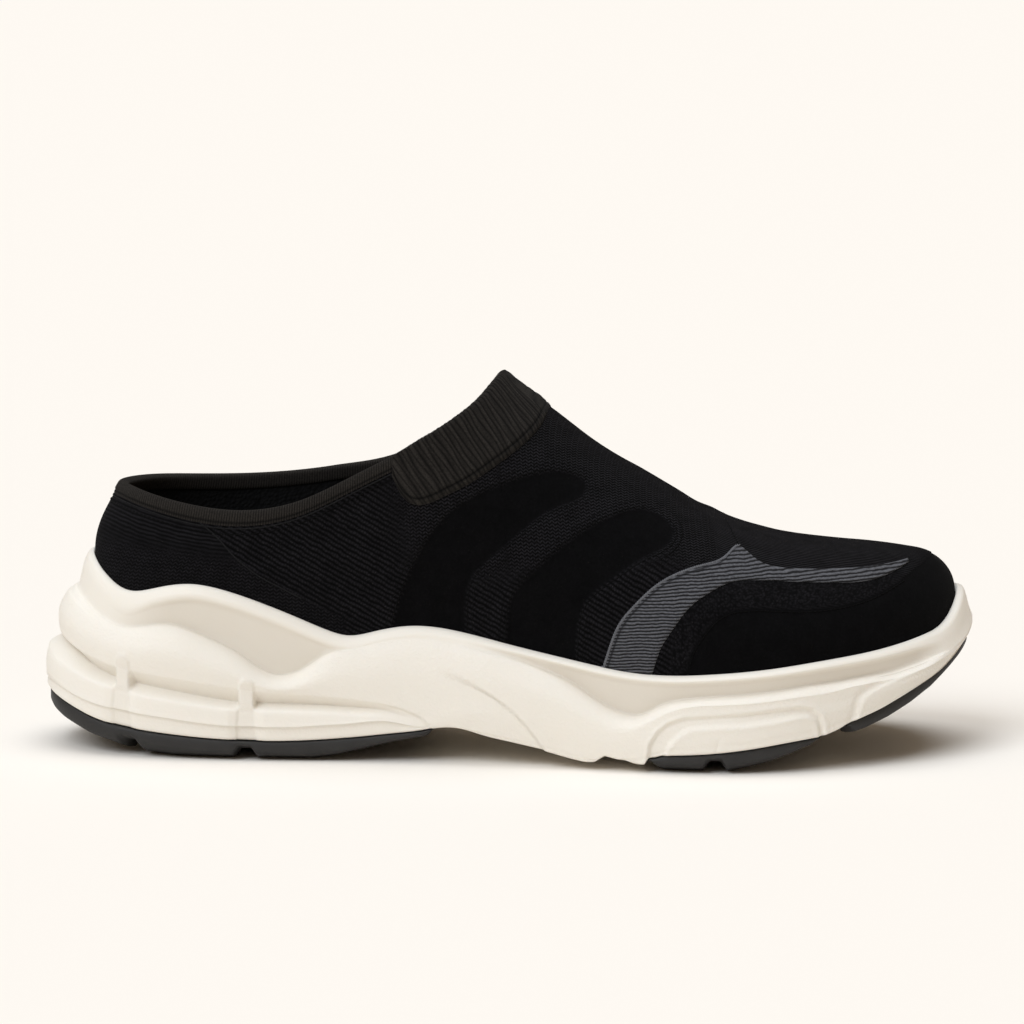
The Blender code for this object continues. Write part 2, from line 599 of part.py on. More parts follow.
def bezier(rib, v):
    foot, low, high, top = rib
    u = 1 - v
    return foot * u ** 3 + low * 3 * u * u * v + high * 3 * u * v * v + top * v ** 3


@functools.lru_cache(maxsize=None)
def cut_share(turn):
    """How far up a rib of the last the collar cuts it, as the two cross seen from the side."""
    near, medial = folded(turn)
    if near >= APEX:
        return 1.0
    rib = last_rib(turn)
    low, high = 0.1, 1.0
    for _ in range(30):
        middle = (low + high) / 2
        point = bezier(rib, middle)
        line = collar_line[medial](point.x / LENGTH + 0.5) * CUFF_RISE + COLLAR_HEIGHT
        if point.z < line:
            low = middle
        else:
            high = middle
    return (low + high) / 2


def last_weight(turn):
    """0 for the ribs round the opening, 1 for the last's, smooth between."""
    near, medial = folded(turn)
    share = (near / APEX - BLEND[0]) / (BLEND[1] - BLEND[0])
    share = min(max(share, 0.0), 1.0)
    return share * share * (3 - 2 * share)


def upper_point(turn, v):
    """Outer face of the upper: v runs from 0 at the midsole's rim to 1 at the collar or ridge."""
    weight = last_weight(turn)
    point = Vector((0, 0, 0))
    if weight < 1:
        point += bezier(opening_rib(turn), v) * (1 - weight)
    if weight > 0:
        point += bezier(last_rib(turn), v * cut_share(turn)) * weight
    return point


def face_normal(make_rib, turn, v):
    v = min(max(v, 0.02), 0.98)
    along = bezier(make_rib(turn + SMALL_TURN), v) - bezier(make_rib(turn - SMALL_TURN), v)
    rib = make_rib(turn)
    return along.cross(bezier(rib, v + 0.01) - bezier(rib, v - 0.01)).normalized()


def upper_normal(turn, v):
    weight = last_weight(turn)
    normal = Vector((0, 0, 0))
    if weight < 1:
        normal += face_normal(opening_rib, turn, v) * (1 - weight)
    if weight > 0:
        normal += face_normal(last_rib, turn, v * cut_share(turn)) * weight
    return normal.normalized()


def share_at(turn, height):
    """v of the place on a rib at a height above the floor."""
    low, high = 0.0, 1.0
    for _ in range(24):
        middle = (low + high) / 2
        if upper_point(turn, middle).z < height:
            low = middle
        else:
            high = middle
    return (low + high) / 2


def share_of_height(turn, height):
    """v of the place on a rib that is a share of the way up from its foot to its top."""
    foot = upper_point(turn, 0).z
    top = upper_point(turn, 1).z
    return share_at(turn, foot + height * (top - foot))


def band_share(turn, width):
    """How much of v a width down from the collar's rim takes."""
    step = 0.02
    return step * width / (upper_point(turn, 1) - upper_point(turn, 1 - step)).length


def wall_top(turn):
    """Top of the wall: lower where the binding takes its place, whole under the cuff."""
    near, medial = folded(turn)
    if near < CUFF_TURN - RIM_STEP / 2:
        return 1 - band_share(turn, BAND)
    return 1.0


UPPER_ROWS = 8
APEX_SHARES = (0.93, 0.962, 0.983, 0.9935, 0.9985, 1.0)   # ribs where the opening rounds off
PAST_PEAK = 0.035      # turn from the peak to the next rib in front


def upper_stations():
    """Stations of the upper: even ones, the wall's step and the round front of the opening."""
    extras = [CUFF_TURN - RIM_STEP, CUFF_TURN] + [share * APEX for share in APEX_SHARES]
    return with_extras(EVEN, extras + [APEX + PAST_PEAK])


def make_upper(material):
    """Knit upper as one hollow wall, open at the collar and over the insole."""
    mesh = bmesh.new()
    turns = ring_of(upper_stations())
    columns = []
    for turn in turns:
        foot = upper_point(turn, 0)
        low = Vector((foot.x, foot.y, seat_height(turn) + CLEARANCE))
        top = wall_top(turn)
        points = [low] + [upper_point(turn, top * j / UPPER_ROWS) for j in range(UPPER_ROWS + 1)]
        columns.append([mesh.verts.new(point) for point in points])
    for here, there in zip(columns, columns[1:] + columns[:1]):
        for j in range(UPPER_ROWS + 1):
            mesh.faces.new((here[j], there[j], there[j + 1], here[j + 1]))
    bmesh.ops.remove_doubles(mesh, verts=mesh.verts, dist=1e-6)
    data = bpy.data.meshes.new("upper")
    mesh.to_mesh(data)
    mesh.free()
    data.shade_smooth()
    data.materials.append(material)
    thing = bpy.data.objects.new("upper", data)
    parts.objects.link(thing)
    wall = thing.modifiers.new("wall", "SOLIDIFY")
    wall.thickness = WALL
    wall.offset = -1
    wall.use_even_offset = True
    return thing


def make_overlay(name, columns, inner, outer, material):
    """Closed layer over the upper between two lifts from its face, from columns of (turn, v)."""
    mesh = bmesh.new()
    sheets = []
    for lift in (outer, inner):
        sheet = []
        for column in columns:
            points = [upper_point(turn, v) + upper_normal(turn, v) * lift for turn, v in column]
            sheet.append([mesh.verts.new(point) for point in points])
        sheets.append(sheet)
    front, back = sheets
    last = len(front) - 1
    rows = len(front[0]) - 1
    for i in range(last):
        for j in range(rows):
            mesh.faces.new((front[i][j], front[i + 1][j], front[i + 1][j + 1], front[i][j + 1]))
            mesh.faces.new((back[i][j], back[i][j + 1], back[i + 1][j + 1], back[i + 1][j]))
        for j in (0, rows):
            mesh.faces.new((front[i][j], front[i + 1][j], back[i + 1][j], back[i][j]))
    for i in (0, last):
        for j in range(rows):
            mesh.faces.new((front[i][j], front[i][j + 1], back[i][j + 1], back[i][j]))
    return finish_mesh(name, mesh, material)


def spread(start, end, rows):
    """Even steps in turn and v from one place on the upper to another."""
    return [(start[0] + (end[0] - start[0]) * j / rows, start[1] + (end[1] - start[1]) * j / rows)
            for j in range(rows + 1)]


def make_binding(material):
    """Ribbed binding that closes the wall's edge round the back of the collar."""
    end = CUFF_TURN - BINDING_END
    lateral = [turn for turn in EVEN if turn < end - CROWDED] + [end]
    turns = [-turn for turn in reversed(lateral[1:])] + lateral
    columns = []
    for turn in turns:
        low = 1 - band_share(turn, BAND - CLEARANCE)
        columns.append(spread((turn, low), (turn, 1.0), 2))
    return make_overlay("collar_binding", columns, -WALL - BINDING_PROUD, BINDING_PROUD, material)


def make_cuff(material):
    """Ribbed cuff over the instep, from the rim to a line that runs round under it."""
    shares, alongs, rises = columns_of(CUFF, 0, 1, 2)
    edge_along = smooth_curve(shares, alongs)
    edge_rise = smooth_curve(shares, rises)
    lateral = []
    for i in range(CUFF_COLUMNS + 1):
        share = CUFF_START + (1 - CUFF_START) * (1 - (1 - i / CUFF_COLUMNS) ** 2)
        turn = turn_at(edge_along(share))
        height = SOLE_HEIGHT + edge_rise(share) * (COLLAR_RISE + CUFF_RISE)
        low = share_at(turn, height) * cut_share(turn) if i < CUFF_COLUMNS else 1.0
        rim = share * APEX
        column = spread((turn, low), (rim, cut_share(rim)), CUFF_ROWS)
        lateral.append([(turn, min(on_rib / cut_share(turn), 1.0)) for turn, on_rib in column])
    medial = [[(FULL_TURN - turn, v) for turn, v in column] for column in lateral[-2::-1]]
    return make_overlay("cuff", lateral + medial, OVERLAY_GAP, OVERLAY_GAP + CUFF_THICK, material)


def make_accent(name, medial, material):
    """Accent panel from the midsole's rim at the ball, up and forward to its tip at the toe."""
    places = [i / (len(ACCENT) - 1) for i in range(len(ACCENT))]
    curves = [smooth_curve(places, values) for values in columns_of(ACCENT, 0, 1, 2, 3)]
    columns = []
    for i in range(ACCENT_COLUMNS + 1):
        place = i / ACCENT_COLUMNS
        outer_along, outer_height, inner_along, inner_height = (c(place) for c in curves)
        ends = []
        for along, height in ((inner_along, inner_height), (outer_along, outer_height)):
            turn = turn_at(along)
            ends.append((turn, share_of_height(turn, height)))
        column = spread(ends[0], ends[1], ACCENT_ROWS)
        if medial:
            column = [(FULL_TURN - turn, v) for turn, v in column]
        columns.append(column)
    return make_overlay(name, columns, OVERLAY_GAP, OVERLAY_GAP + ACCENT_THICK, material)


def linear(channel):
    """One sRGB channel as the linear value that a shader takes."""
    return channel / 12.92 if channel <= 0.04045 else ((channel + 0.055) / 1.055) ** 2.4


def make_material(finish):
    name, colour, roughness = finish
    material = bpy.data.materials.new(name)
    material.use_nodes = True
    shader = material.node_tree.nodes["Principled BSDF"]
    channels = [linear(int(colour[i:i + 2], 16) / 255) for i in (1, 3, 5)]
    shader.inputs["Base Color"].default_value = (*channels, 1)
    shader.inputs["Roughness"].default_value = roughness
    shader.inputs["Metallic"].default_value = 0.0
    return material


for old in list(bpy.data.objects):
    bpy.data.objects.remove(old)
parts = bpy.data.collections.new("slip_on_shoe")
bpy.context.scene.collection.children.link(parts)

foam = make_material(FOAM)
rubber = make_material(RUBBER)
knit = make_material(KNIT)
ribbed = make_material(RIBBED)
grey_knit = make_material(GREY_KNIT)
lining = make_material(LINING)

make_midsole(foam)
make_outsole("outsole_heel", HEEL_TREAD, HEEL_NOTCHES, rubber)
make_outsole("outsole_forefoot", BALL_TREAD, (BALL_NOTCH,), rubber)
make_outsole("outsole_toe", TOE_TREAD, (), rubber)
make_insole(lining)
make_upper(knit)
make_binding(ribbed)
make_cuff(ribbed)
make_accent("accent_lateral", False, grey_knit)
make_accent("accent_medial", True, grey_knit)
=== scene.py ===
"""Looks of a right-foot knit slip-on shoe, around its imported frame.

+X runs to the toe, -Y is the outer (lateral) side that the camera sees, +Z is up, in metres. The
shapes repeat the part's own curves: "turn" goes once round the shoe from the heel's back, outer
side first, "along" is a share of the length, and v runs up the upper from the midsole's rim.
"""
import math

import bmesh
import bpy
import numpy as np
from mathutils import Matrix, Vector


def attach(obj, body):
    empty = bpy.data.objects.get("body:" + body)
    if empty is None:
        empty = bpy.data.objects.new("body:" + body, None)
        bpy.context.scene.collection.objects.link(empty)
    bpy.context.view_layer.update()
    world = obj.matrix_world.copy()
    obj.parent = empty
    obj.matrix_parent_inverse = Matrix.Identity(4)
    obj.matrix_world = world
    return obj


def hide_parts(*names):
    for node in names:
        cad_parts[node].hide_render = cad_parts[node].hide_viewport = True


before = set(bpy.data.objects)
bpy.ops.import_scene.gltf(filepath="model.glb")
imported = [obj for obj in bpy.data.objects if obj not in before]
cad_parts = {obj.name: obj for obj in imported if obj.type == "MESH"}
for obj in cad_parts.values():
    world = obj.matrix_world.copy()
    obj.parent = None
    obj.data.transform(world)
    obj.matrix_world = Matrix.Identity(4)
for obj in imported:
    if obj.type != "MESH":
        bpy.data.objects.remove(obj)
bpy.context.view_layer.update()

# Driving sizes, as in the part
LENGTH = 0.300
BALL_WIDTH = 0.105
HEEL_WIDTH = 0.077
SOLE_HEIGHT = 0.063  # what the tables' heights of 100 stand for
COLLAR_RISE = 0.0224  # from SOLE_HEIGHT to the collar's rim at the heel
CUFF_RISE = 0.0364  # what a lift of 1 above that rim stands for
SCULPT = 0.010  # what an inset of 1 stands for
WALL = 0.0024
BAND = 0.0050  # height of the collar's binding
INSOLE_THICK = 0.0045
CLEARANCE = 0.0003
SHOULDER_DROP = 2.5  # from the crest of the foam's ledge to its shoulder, of heights of 100
CUFF_START = 0.85  # where the cuff starts on the rim, from the heel at 0 to the peak at 1
APEX_ALONG = 0.51  # where the rib that ends at the cuff's peak leaves the foam
WAIST = (0.25, 0.70)  # along, where the plan widens from the heel to the ball
BLEND = (0.74, 0.93)  # of the peak's turn, where the instep's ribs take over
MM = 0.001
TAU = 2 * math.pi

PLAN = (  # along, lateral, medial
    (0.00, 0.000, 0.000), (0.03, -0.312, 0.312), (0.08, -0.435, 0.435), (0.16, -0.500, 0.500),
    (0.27, -0.512, 0.492), (0.40, -0.475, 0.415), (0.50, -0.461, 0.380), (0.60, -0.473, 0.404),
    (0.70, -0.495, 0.467), (0.76, -0.490, 0.505), (0.82, -0.452, 0.514), (0.88, -0.371, 0.481),
    (0.94, -0.250, 0.405), (0.98, -0.108, 0.292), (1.00, 0.105, 0.105))

FEATHER = (  # along, lateral, medial
    (0.00, 100.0, 100.0), (0.03, 94.5, 94.5), (0.057, 88.7, 88.7), (0.075, 85.0, 85.0),
    (0.095, 83.5, 83.5), (0.128, 86.3, 86.3), (0.17, 88.4, 88.4), (0.20, 86.0, 86.5),
    (0.235, 81.0, 82.0), (0.283, 72.2, 74.5), (0.313, 66.3, 69.5), (0.337, 63.5, 66.5),
    (0.363, 65.7, 67.5), (0.404, 69.0, 69.5), (0.45, 67.0, 68.0), (0.50, 61.6, 63.5),
    (0.573, 54.3, 56.0), (0.627, 49.8, 51.5), (0.68, 48.4, 49.5), (0.72, 49.2, 49.8),
    (0.78, 51.4, 52.5), (0.845, 54.8, 56.5), (0.893, 57.3, 60.5), (0.93, 60.0, 65.5),
    (0.965, 63.6, 71.5), (0.985, 67.0, 75.0), (1.00, 77.0, 77.0))

SIDE = (  # along, crest, chamfer, groove, block, step, edge
    (0.000, 18.5, 59.0, 57.0, 52.0, 33.0, 27.5), (0.020, 18.5, 55.0, 51.0, 45.5, 31.0, 23.0),
    (0.045, 19.5, 50.5, 44.0, 40.0, 26.5, 17.5), (0.075, 18.5, 46.5, 39.5, 36.0, 23.0, 13.5),
    (0.105, 18.0, 43.8, 37.0, 33.0, 20.8, 11.3), (0.145, 20.5, 41.5, 34.0, 30.3, 18.2, 9.3),
    (0.180, 26.0, 39.0, 31.5, 28.0, 16.2, 8.0), (0.220, 30.5, 36.5, 29.0, 26.3, 14.8, 7.2),
    (0.257, 34.3, 34.5, 28.5, 25.8, 14.7, 7.0), (0.288, 25.0, 33.8, 28.4, 25.6, 15.1, 7.5),
    (0.320, 9.5, 33.0, 28.0, 25.3, 16.8, 8.6), (0.345, 6.0, 32.0, 27.5, 24.9, 18.5, 9.8),
    (0.380, 5.7, 29.5, 26.3, 24.2, 20.6, 12.0), (0.410, 5.7, 27.0, 23.5, 21.3, 18.8, 14.0),
    (0.455, 5.7, 33.0, 26.5, 22.5, 19.0, 16.0), (0.480, 5.7, 34.5, 27.0, 22.0, 17.0, 12.8),
    (0.510, 5.8, 33.5, 26.0, 20.0, 14.5, 9.8), (0.545, 8.0, 31.0, 23.5, 17.5, 11.8, 6.6),
    (0.573, 11.6, 27.0, 20.5, 14.5, 8.8, 3.7), (0.601, 17.5, 22.0, 16.5, 11.0, 6.0, 2.0),
    (0.633, 21.5, 20.5, 16.0, 11.5, 7.0, 2.6), (0.649, 20.0, 23.0, 18.5, 14.0, 8.0, 2.8),
    (0.664, 15.5, 26.5, 22.5, 18.0, 10.5, 4.6), (0.690, 10.8, 32.5, 28.0, 23.5, 14.0, 6.0),
    (0.720, 9.7, 34.5, 29.5, 25.3, 16.0, 7.0), (0.770, 10.2, 35.5, 30.5, 26.2, 18.0, 10.0),
    (0.820, 9.8, 38.0, 33.5, 29.3, 22.0, 13.8), (0.845, 9.3, 39.0, 34.2, 30.2, 23.5, 16.0),
    (0.870, 8.3, 42.0, 36.5, 33.0, 27.5, 21.0), (0.900, 7.7, 46.0, 41.0, 37.5, 32.0, 26.0),
    (0.930, 7.2, 50.0, 45.5, 42.5, 38.0, 32.5), (0.960, 7.0, 53.3, 50.0, 47.6, 44.5, 40.0),
    (1.000, 7.2, 62.5, 60.5, 59.0, 57.7, 56.3))

INSET = (  # along, feather, rim, crest, shoulder, belly, chamfer, groove, block, step, edge
    (0.00, 1.50, 1.18, 0.98, 0.63, 0.37, 0.40, 0.68, 0.12, 0.00, 0.06),
    (0.05, 1.20, 0.90, 0.80, 0.50, 0.30, 0.34, 0.62, 0.10, 0.00, 0.06),
    (0.12, 0.93, 0.66, 0.70, 0.36, 0.22, 0.29, 0.54, 0.08, 0.00, 0.06),
    (0.18, 0.85, 0.58, 0.72, 0.32, 0.20, 0.27, 0.50, 0.07, 0.00, 0.06),
    (0.26, 0.80, 0.53, 0.68, 0.32, 0.22, 0.27, 0.48, 0.07, 0.00, 0.06),
    (0.33, 0.75, 0.48, 0.44, 0.28, 0.14, 0.20, 0.36, 0.08, 0.00, 0.07),
    (0.40, 0.73, 0.46, 0.36, 0.26, 0.09, 0.08, 0.12, 0.06, 0.04, 0.10),
    (0.46, 0.72, 0.45, 0.34, 0.24, 0.06, 0.01, 0.00, 0.04, 0.10, 0.20),
    (0.54, 0.70, 0.43, 0.46, 0.22, 0.05, 0.00, 0.01, 0.05, 0.11, 0.20),
    (0.62, 0.68, 0.41, 0.52, 0.26, 0.10, 0.02, 0.00, 0.02, 0.05, 0.14),
    (0.70, 0.64, 0.38, 0.42, 0.20, 0.12, 0.10, 0.08, 0.00, 0.00, 0.06),
    (0.80, 0.62, 0.36, 0.36, 0.18, 0.11, 0.10, 0.08, 0.00, 0.00, 0.06),
    (0.86, 0.60, 0.34, 0.32, 0.16, 0.09, 0.07, 0.06, 0.02, 0.03, 0.08),
    (0.93, 0.58, 0.32, 0.27, 0.12, 0.06, 0.03, 0.03, 0.00, 0.02, 0.08),
    (1.00, 0.50, 0.24, 0.15, 0.06, 0.00, 0.02, 0.05, 0.09, 0.15, 0.22))

SEAT = (  # along, height
    (0.00, 54.0), (0.10, 53.0), (0.20, 51.0), (0.30, 48.0), (0.40, 45.5), (0.50, 42.0),
    (0.60, 38.0), (0.70, 35.0), (0.78, 36.0), (0.86, 41.0), (0.92, 47.0), (0.96, 52.0),
    (1.00, 57.5))
HEEL_TREAD = (
    (0.000, 15.0), (0.020, 10.0), (0.045, 4.6), (0.075, 1.6), (0.110, 0.5), (0.150, 0.0),
    (0.300, 0.0), (0.325, 1.8), (0.350, 4.8), (0.380, 8.6), (0.405, 11.4))
BALL_TREAD = (
    (0.657, 1.6), (0.672, 0.0), (0.745, 0.0), (0.765, 1.6), (0.790, 4.2), (0.815, 8.0),
    (0.832, 11.8))
TOE_TREAD = (
    (0.846, 13.2), (0.870, 15.6), (0.890, 18.2), (0.914, 22.8), (0.938, 28.6), (0.960, 35.0),
    (0.985, 45.5), (1.000, 51.0))

COLLAR = (  # turn, along, lateral width, medial width, lateral lift, medial lift
    (0.00, 0.0800, 0.000, 0.000, 0.000, 0.000), (0.20, 0.0917, 0.130, 0.130, -0.005, 0.000),
    (0.35, 0.1200, 0.253, 0.260, -0.052, -0.016), (0.50, 0.1767, 0.344, 0.355, -0.140, -0.038),
    (0.60, 0.2267, 0.380, 0.393, -0.160, -0.033), (0.70, 0.2867, 0.390, 0.403, -0.058, 0.016),
    (0.80, 0.3533, 0.371, 0.390, 0.209, 0.154), (0.88, 0.4117, 0.325, 0.350, 0.450, 0.385),
    (0.94, 0.4567, 0.245, 0.280, 0.655, 0.600), (0.97, 0.4793, 0.170, 0.212, 0.810, 0.775),
    (1.00, 0.4947, -0.026, 0.026, 0.960, 0.960))

RIDGE = (  # turn, along, offset, rise, foot reach, flare, top reach, lean
    (-0.20, 0.3300, 0.019, 1.820, 0.29, 2.0, 0.32, 12.0),
    (-0.12, 0.3940, 0.019, 1.440, 0.30, 2.5, 0.32, 11.0),
    (-0.06, 0.4440, 0.019, 1.190, 0.31, 3.0, 0.32, 10.0),
    (0.00, 0.4947, 0.019, 0.975, 0.33, 3.0, 0.33, 9.0),
    (0.06, 0.5450, 0.019, 0.798, 0.34, 3.5, 0.33, 7.0),
    (0.12, 0.5883, 0.019, 0.630, 0.36, 4.0, 0.34, 5.0),
    (0.20, 0.6450, 0.019, 0.450, 0.40, 5.0, 0.38, 2.0),
    (0.30, 0.7133, 0.024, 0.247, 0.46, 6.0, 0.42, 0.0),
    (0.40, 0.7733, 0.033, 0.137, 0.49, 7.0, 0.45, 0.0),
    (0.50, 0.8250, 0.048, 0.090, 0.50, 7.0, 0.475, 0.0),
    (0.60, 0.8667, 0.062, 0.067, 0.515, 6.2, 0.49, 0.0),
    (0.70, 0.8983, 0.076, 0.050, 0.52, 5.5, 0.485, 0.0),
    (0.80, 0.9200, 0.086, 0.036, 0.52, 4.8, 0.46, 0.0),
    (0.90, 0.9327, 0.093, 0.027, 0.525, 4.2, 0.42, 0.0),
    (1.00, 0.9367, 0.095, 0.023, 0.53, 4.0, 0.40, 0.0))

RIBS = (  # turn, foot reach, flare, top reach, lean
    (0.00, 0.40, 1.0, 0.33, 62.0), (0.20, 0.385, 1.8, 0.32, 66.0), (0.40, 0.36, 4.0, 0.30, 76.0),
    (0.58, 0.33, 8.0, 0.29, 86.0), (0.78, 0.35, 5.0, 0.30, 76.0), (0.90, 0.34, 4.0, 0.28, 64.0),
    (1.00, 0.34, 3.0, 0.27, 50.0))

CUFF = (  # turn on the rim, along of the lower edge, rise
    (0.850, 0.3885, 0.485), (0.858, 0.396, 0.400), (0.868, 0.405, 0.345),
    (0.885, 0.421, 0.325), (0.910, 0.448, 0.374), (0.935, 0.477, 0.442), (0.958, 0.505, 0.527),
    (0.975, 0.530, 0.612), (0.985, 0.546, 0.680), (0.993, 0.554, 0.730), (1.000, 0.5565, 0.770))

ACCENT = (  # outer along, outer height, inner along, inner height
    (0.604, -0.03, 0.657, -0.03), (0.622, 0.19, 0.668, 0.13), (0.645, 0.34, 0.684, 0.26),
    (0.678, 0.51, 0.705, 0.41), (0.717, 0.66, 0.728, 0.53), (0.745, 0.76, 0.744, 0.60),
    (0.762, 0.86, 0.758, 0.64), (0.777, 0.81, 0.772, 0.66), (0.800, 0.77, 0.795, 0.675),
    (0.845, 0.78, 0.845, 0.68), (0.890, 0.80, 0.890, 0.685), (0.925, 0.83, 0.922, 0.745),
    (0.950, 0.86, 0.950, 0.835))


# Curves

def spline(knots, values, flat=False):
    """Cubic spline through the values, for arrays, with free ends or ends of no slope."""
    x = np.array(knots, float)
    y = np.array(values, float)
    gap = np.diff(x)
    rate = np.diff(y) / gap
    system = np.eye(len(x))
    target = np.zeros(len(x))
    for i in range(1, len(x) - 1):
        system[i, i - 1:i + 2] = gap[i - 1], 2 * (gap[i - 1] + gap[i]), gap[i]
        target[i] = 6 * (rate[i] - rate[i - 1])
    if flat:
        system[0, :2] = 2 * gap[0], gap[0]
        system[-1, -2:] = gap[-1], 2 * gap[-1]
        target[0] = 6 * rate[0]
        target[-1] = -6 * rate[-1]
    bend = np.linalg.solve(system, target)

    def value(at):
        at = np.asarray(at, float)
        i = np.clip(np.searchsorted(x, at) - 1, 0, len(x) - 2)
        left = at - x[i]
        right = x[i + 1] - at
        cubic = (bend[i] * right ** 3 + bend[i + 1] * left ** 3) / (6 * gap[i])
        line = (y[i] / gap[i] - bend[i] * gap[i] / 6) * right
        return cubic + line + (y[i + 1] / gap[i] - bend[i + 1] * gap[i] / 6) * left

    return value


def turn_at(along):
    return np.arccos(1 - 2 * np.clip(along, 0, 1))


def along_at(turn):
    return (1 - np.cos(turn)) / 2


def ring_spline(rows, lateral, medial):
    """Smooth closed curve over the full turn through a table's two columns."""
    knots = [float(turn_at(row[0])) for row in rows]
    values = [row[lateral] for row in rows]
    knots += [TAU - float(turn_at(row[0])) for row in rows[-2:0:-1]]
    values += [row[medial] for row in rows[-2:0:-1]]
    three = [knot + lap * TAU for lap in (-1, 0, 1) for knot in knots]
    curve = spline(three, values * 3)
    return lambda turn: curve(np.mod(turn, TAU))


def columns_of(rows, *numbers):
    return [[row[number] for row in rows] for number in numbers]


def smoothstep(low, high, x):
    share = np.clip((x - low) / (high - low), 0, 1)
    return share * share * (3 - 2 * share)


plan_share = ring_spline(PLAN, 1, 2)
feather_share = ring_spline(FEATHER, 1, 2)
seat_share = ring_spline(SEAT, 1, 1)
SIDE_NAMES = ("crest", "chamfer", "groove", "block", "step", "edge")
side_share = {name: ring_spline(SIDE, n, n) for n, name in enumerate(SIDE_NAMES, 1)}
INSET_NAMES = ("feather", "rim", "crest", "shoulder", "belly", "chamfer", "groove", "block",
               "step", "edge")
inset_share = {name: ring_spline(INSET, n, n) for n, name in enumerate(INSET_NAMES, 1)}


def raw_half(turn):
    """y of the plan's outline before it is centred, in metres."""
    share = smoothstep(WAIST[0], WAIST[1], along_at(turn))
    return plan_share(turn) * (HEEL_WIDTH + (BALL_WIDTH - HEEL_WIDTH) * share)


whole_turn = raw_half(np.arange(720) * TAU / 720)
SHIFT = -(whole_turn.max() + whole_turn.min()) / 2


def plan_point(turn):
    """Place on the plan's outline, on the floor."""
    return np.stack([-LENGTH / 2 * np.cos(turn), raw_half(turn) + SHIFT, 0 * turn], -1)


def outward(turn):
    """Level direction away from the plan's outline."""
    run = plan_point(turn + 0.001) - plan_point(turn - 0.001)
    out = np.stack([run[..., 1], -run[..., 0], 0 * run[..., 0]], -1)
    return out / np.linalg.norm(out, axis=-1, keepdims=True)


def side_point(turn, inset, height):
    """Place at an inset from the plan's outline, in metres, and at a height."""
    point = plan_point(turn) - outward(turn) * inset[..., None]
    point[..., 2] = height
    return point


def feather_inset(turn):
    return inset_share["feather"](turn) * SCULPT


def feather_height(turn):
    return feather_share(turn) * SOLE_HEIGHT / 100


def seat_height(turn):
    return seat_share(turn) * SOLE_HEIGHT / 100


# The upper's surface

APEX = float(turn_at(APEX_ALONG))
COLLAR_HEIGHT = SOLE_HEIGHT + COLLAR_RISE
collar_turns, collar_alongs = columns_of(COLLAR, 0, 1)
collar_along = spline(collar_turns, collar_alongs, flat=True)
collar_width = [spline(collar_turns, values) for values in columns_of(COLLAR, 2, 3)]
collar_lift = [spline(collar_turns, values, flat=True) for values in columns_of(COLLAR, 4, 5)]
collar_line = [spline(collar_alongs, values) for values in columns_of(COLLAR, 4, 5)]
ridge_turns = columns_of(RIDGE, 0)[0]
ridge_along, ridge_offset, ridge_rise = [spline(ridge_turns, values)
                                         for values in columns_of(RIDGE, 1, 2, 3)]
last_shape = [spline(ridge_turns, values, flat=True) for values in columns_of(RIDGE, 4, 5, 6, 7)]
rib_shape = [spline(columns_of(RIBS, 0)[0], values, flat=True)
             for values in columns_of(RIBS, 1, 2, 3, 4)]


def folded(turn):
    """The turn as on the outer side, and where it lies on the inner side."""
    turn = np.mod(turn, TAU)
    medial = turn > math.pi
    return np.where(medial, TAU - turn, turn), medial


def rim_point(share, medial):
    """Place on the collar's rim, from the heel at 0 to the cuff's peak at 1."""
    width = np.where(medial, collar_width[1](share), -collar_width[0](share))
    lift = np.where(medial, collar_lift[1](share), collar_lift[0](share))
    return np.stack([(collar_along(share) - 0.5) * LENGTH, width * HEEL_WIDTH + SHIFT,
                     COLLAR_HEIGHT + lift * CUFF_RISE], -1)


def ridge_point(share):
    """Place on the ridge line over the instep, from the cuff's peak at 0 to the toe at 1."""
    return np.stack([(ridge_along(share) - 0.5) * LENGTH, ridge_offset(share) * BALL_WIDTH + SHIFT,
                     SOLE_HEIGHT + ridge_rise(share) * (COLLAR_RISE + CUFF_RISE)], -1)


def handles(turn, top, shape):
    """The four points of a rib's curve, from the foam's edge up to its top."""
    reach_up, flare, reach_out, lean = shape
    foot = side_point(turn, feather_inset(turn) + CLEARANCE, feather_height(turn))
    out = outward(turn)
    up = np.array((0.0, 0.0, 1.0))
    flare = np.radians(flare)[..., None]
    lean = np.radians(lean)[..., None]
    rise = (reach_up * (top[..., 2] - foot[..., 2]))[..., None]
    low = foot + (up * np.cos(flare) + out * np.sin(flare)) * rise
    reach = (reach_out * np.linalg.norm(top - foot, axis=-1))[..., None]
    high = top + (out * np.cos(lean) - up * np.sin(lean)) * reach
    return foot, low, high, top


def opening_rib(turn):
    near, medial = folded(turn)
    share = np.clip(near / APEX, 0, 1)
    return handles(turn, rim_point(share, medial), [curve(share) for curve in rib_shape])


def last_rib(turn):
    share = np.maximum((folded(turn)[0] - APEX) / (math.pi - APEX), -0.3)
    top = ridge_point(share)
    foot, low, high, top = handles(turn, top, [curve(share) for curve in last_shape])
    step = ridge_point(np.minimum(share + 0.01, 1)) - ridge_point(share - 0.01)
    high[..., 2] += step[..., 2] / step[..., 0] * (high[..., 0] - top[..., 0])
    return foot, low, high, top


def bezier(rib, v):
    foot, low, high, top = rib
    v = np.asarray(v)[..., None]
    u = 1 - v
    return foot * u ** 3 + low * 3 * u * u * v + high * 3 * u * v * v + top * v ** 3


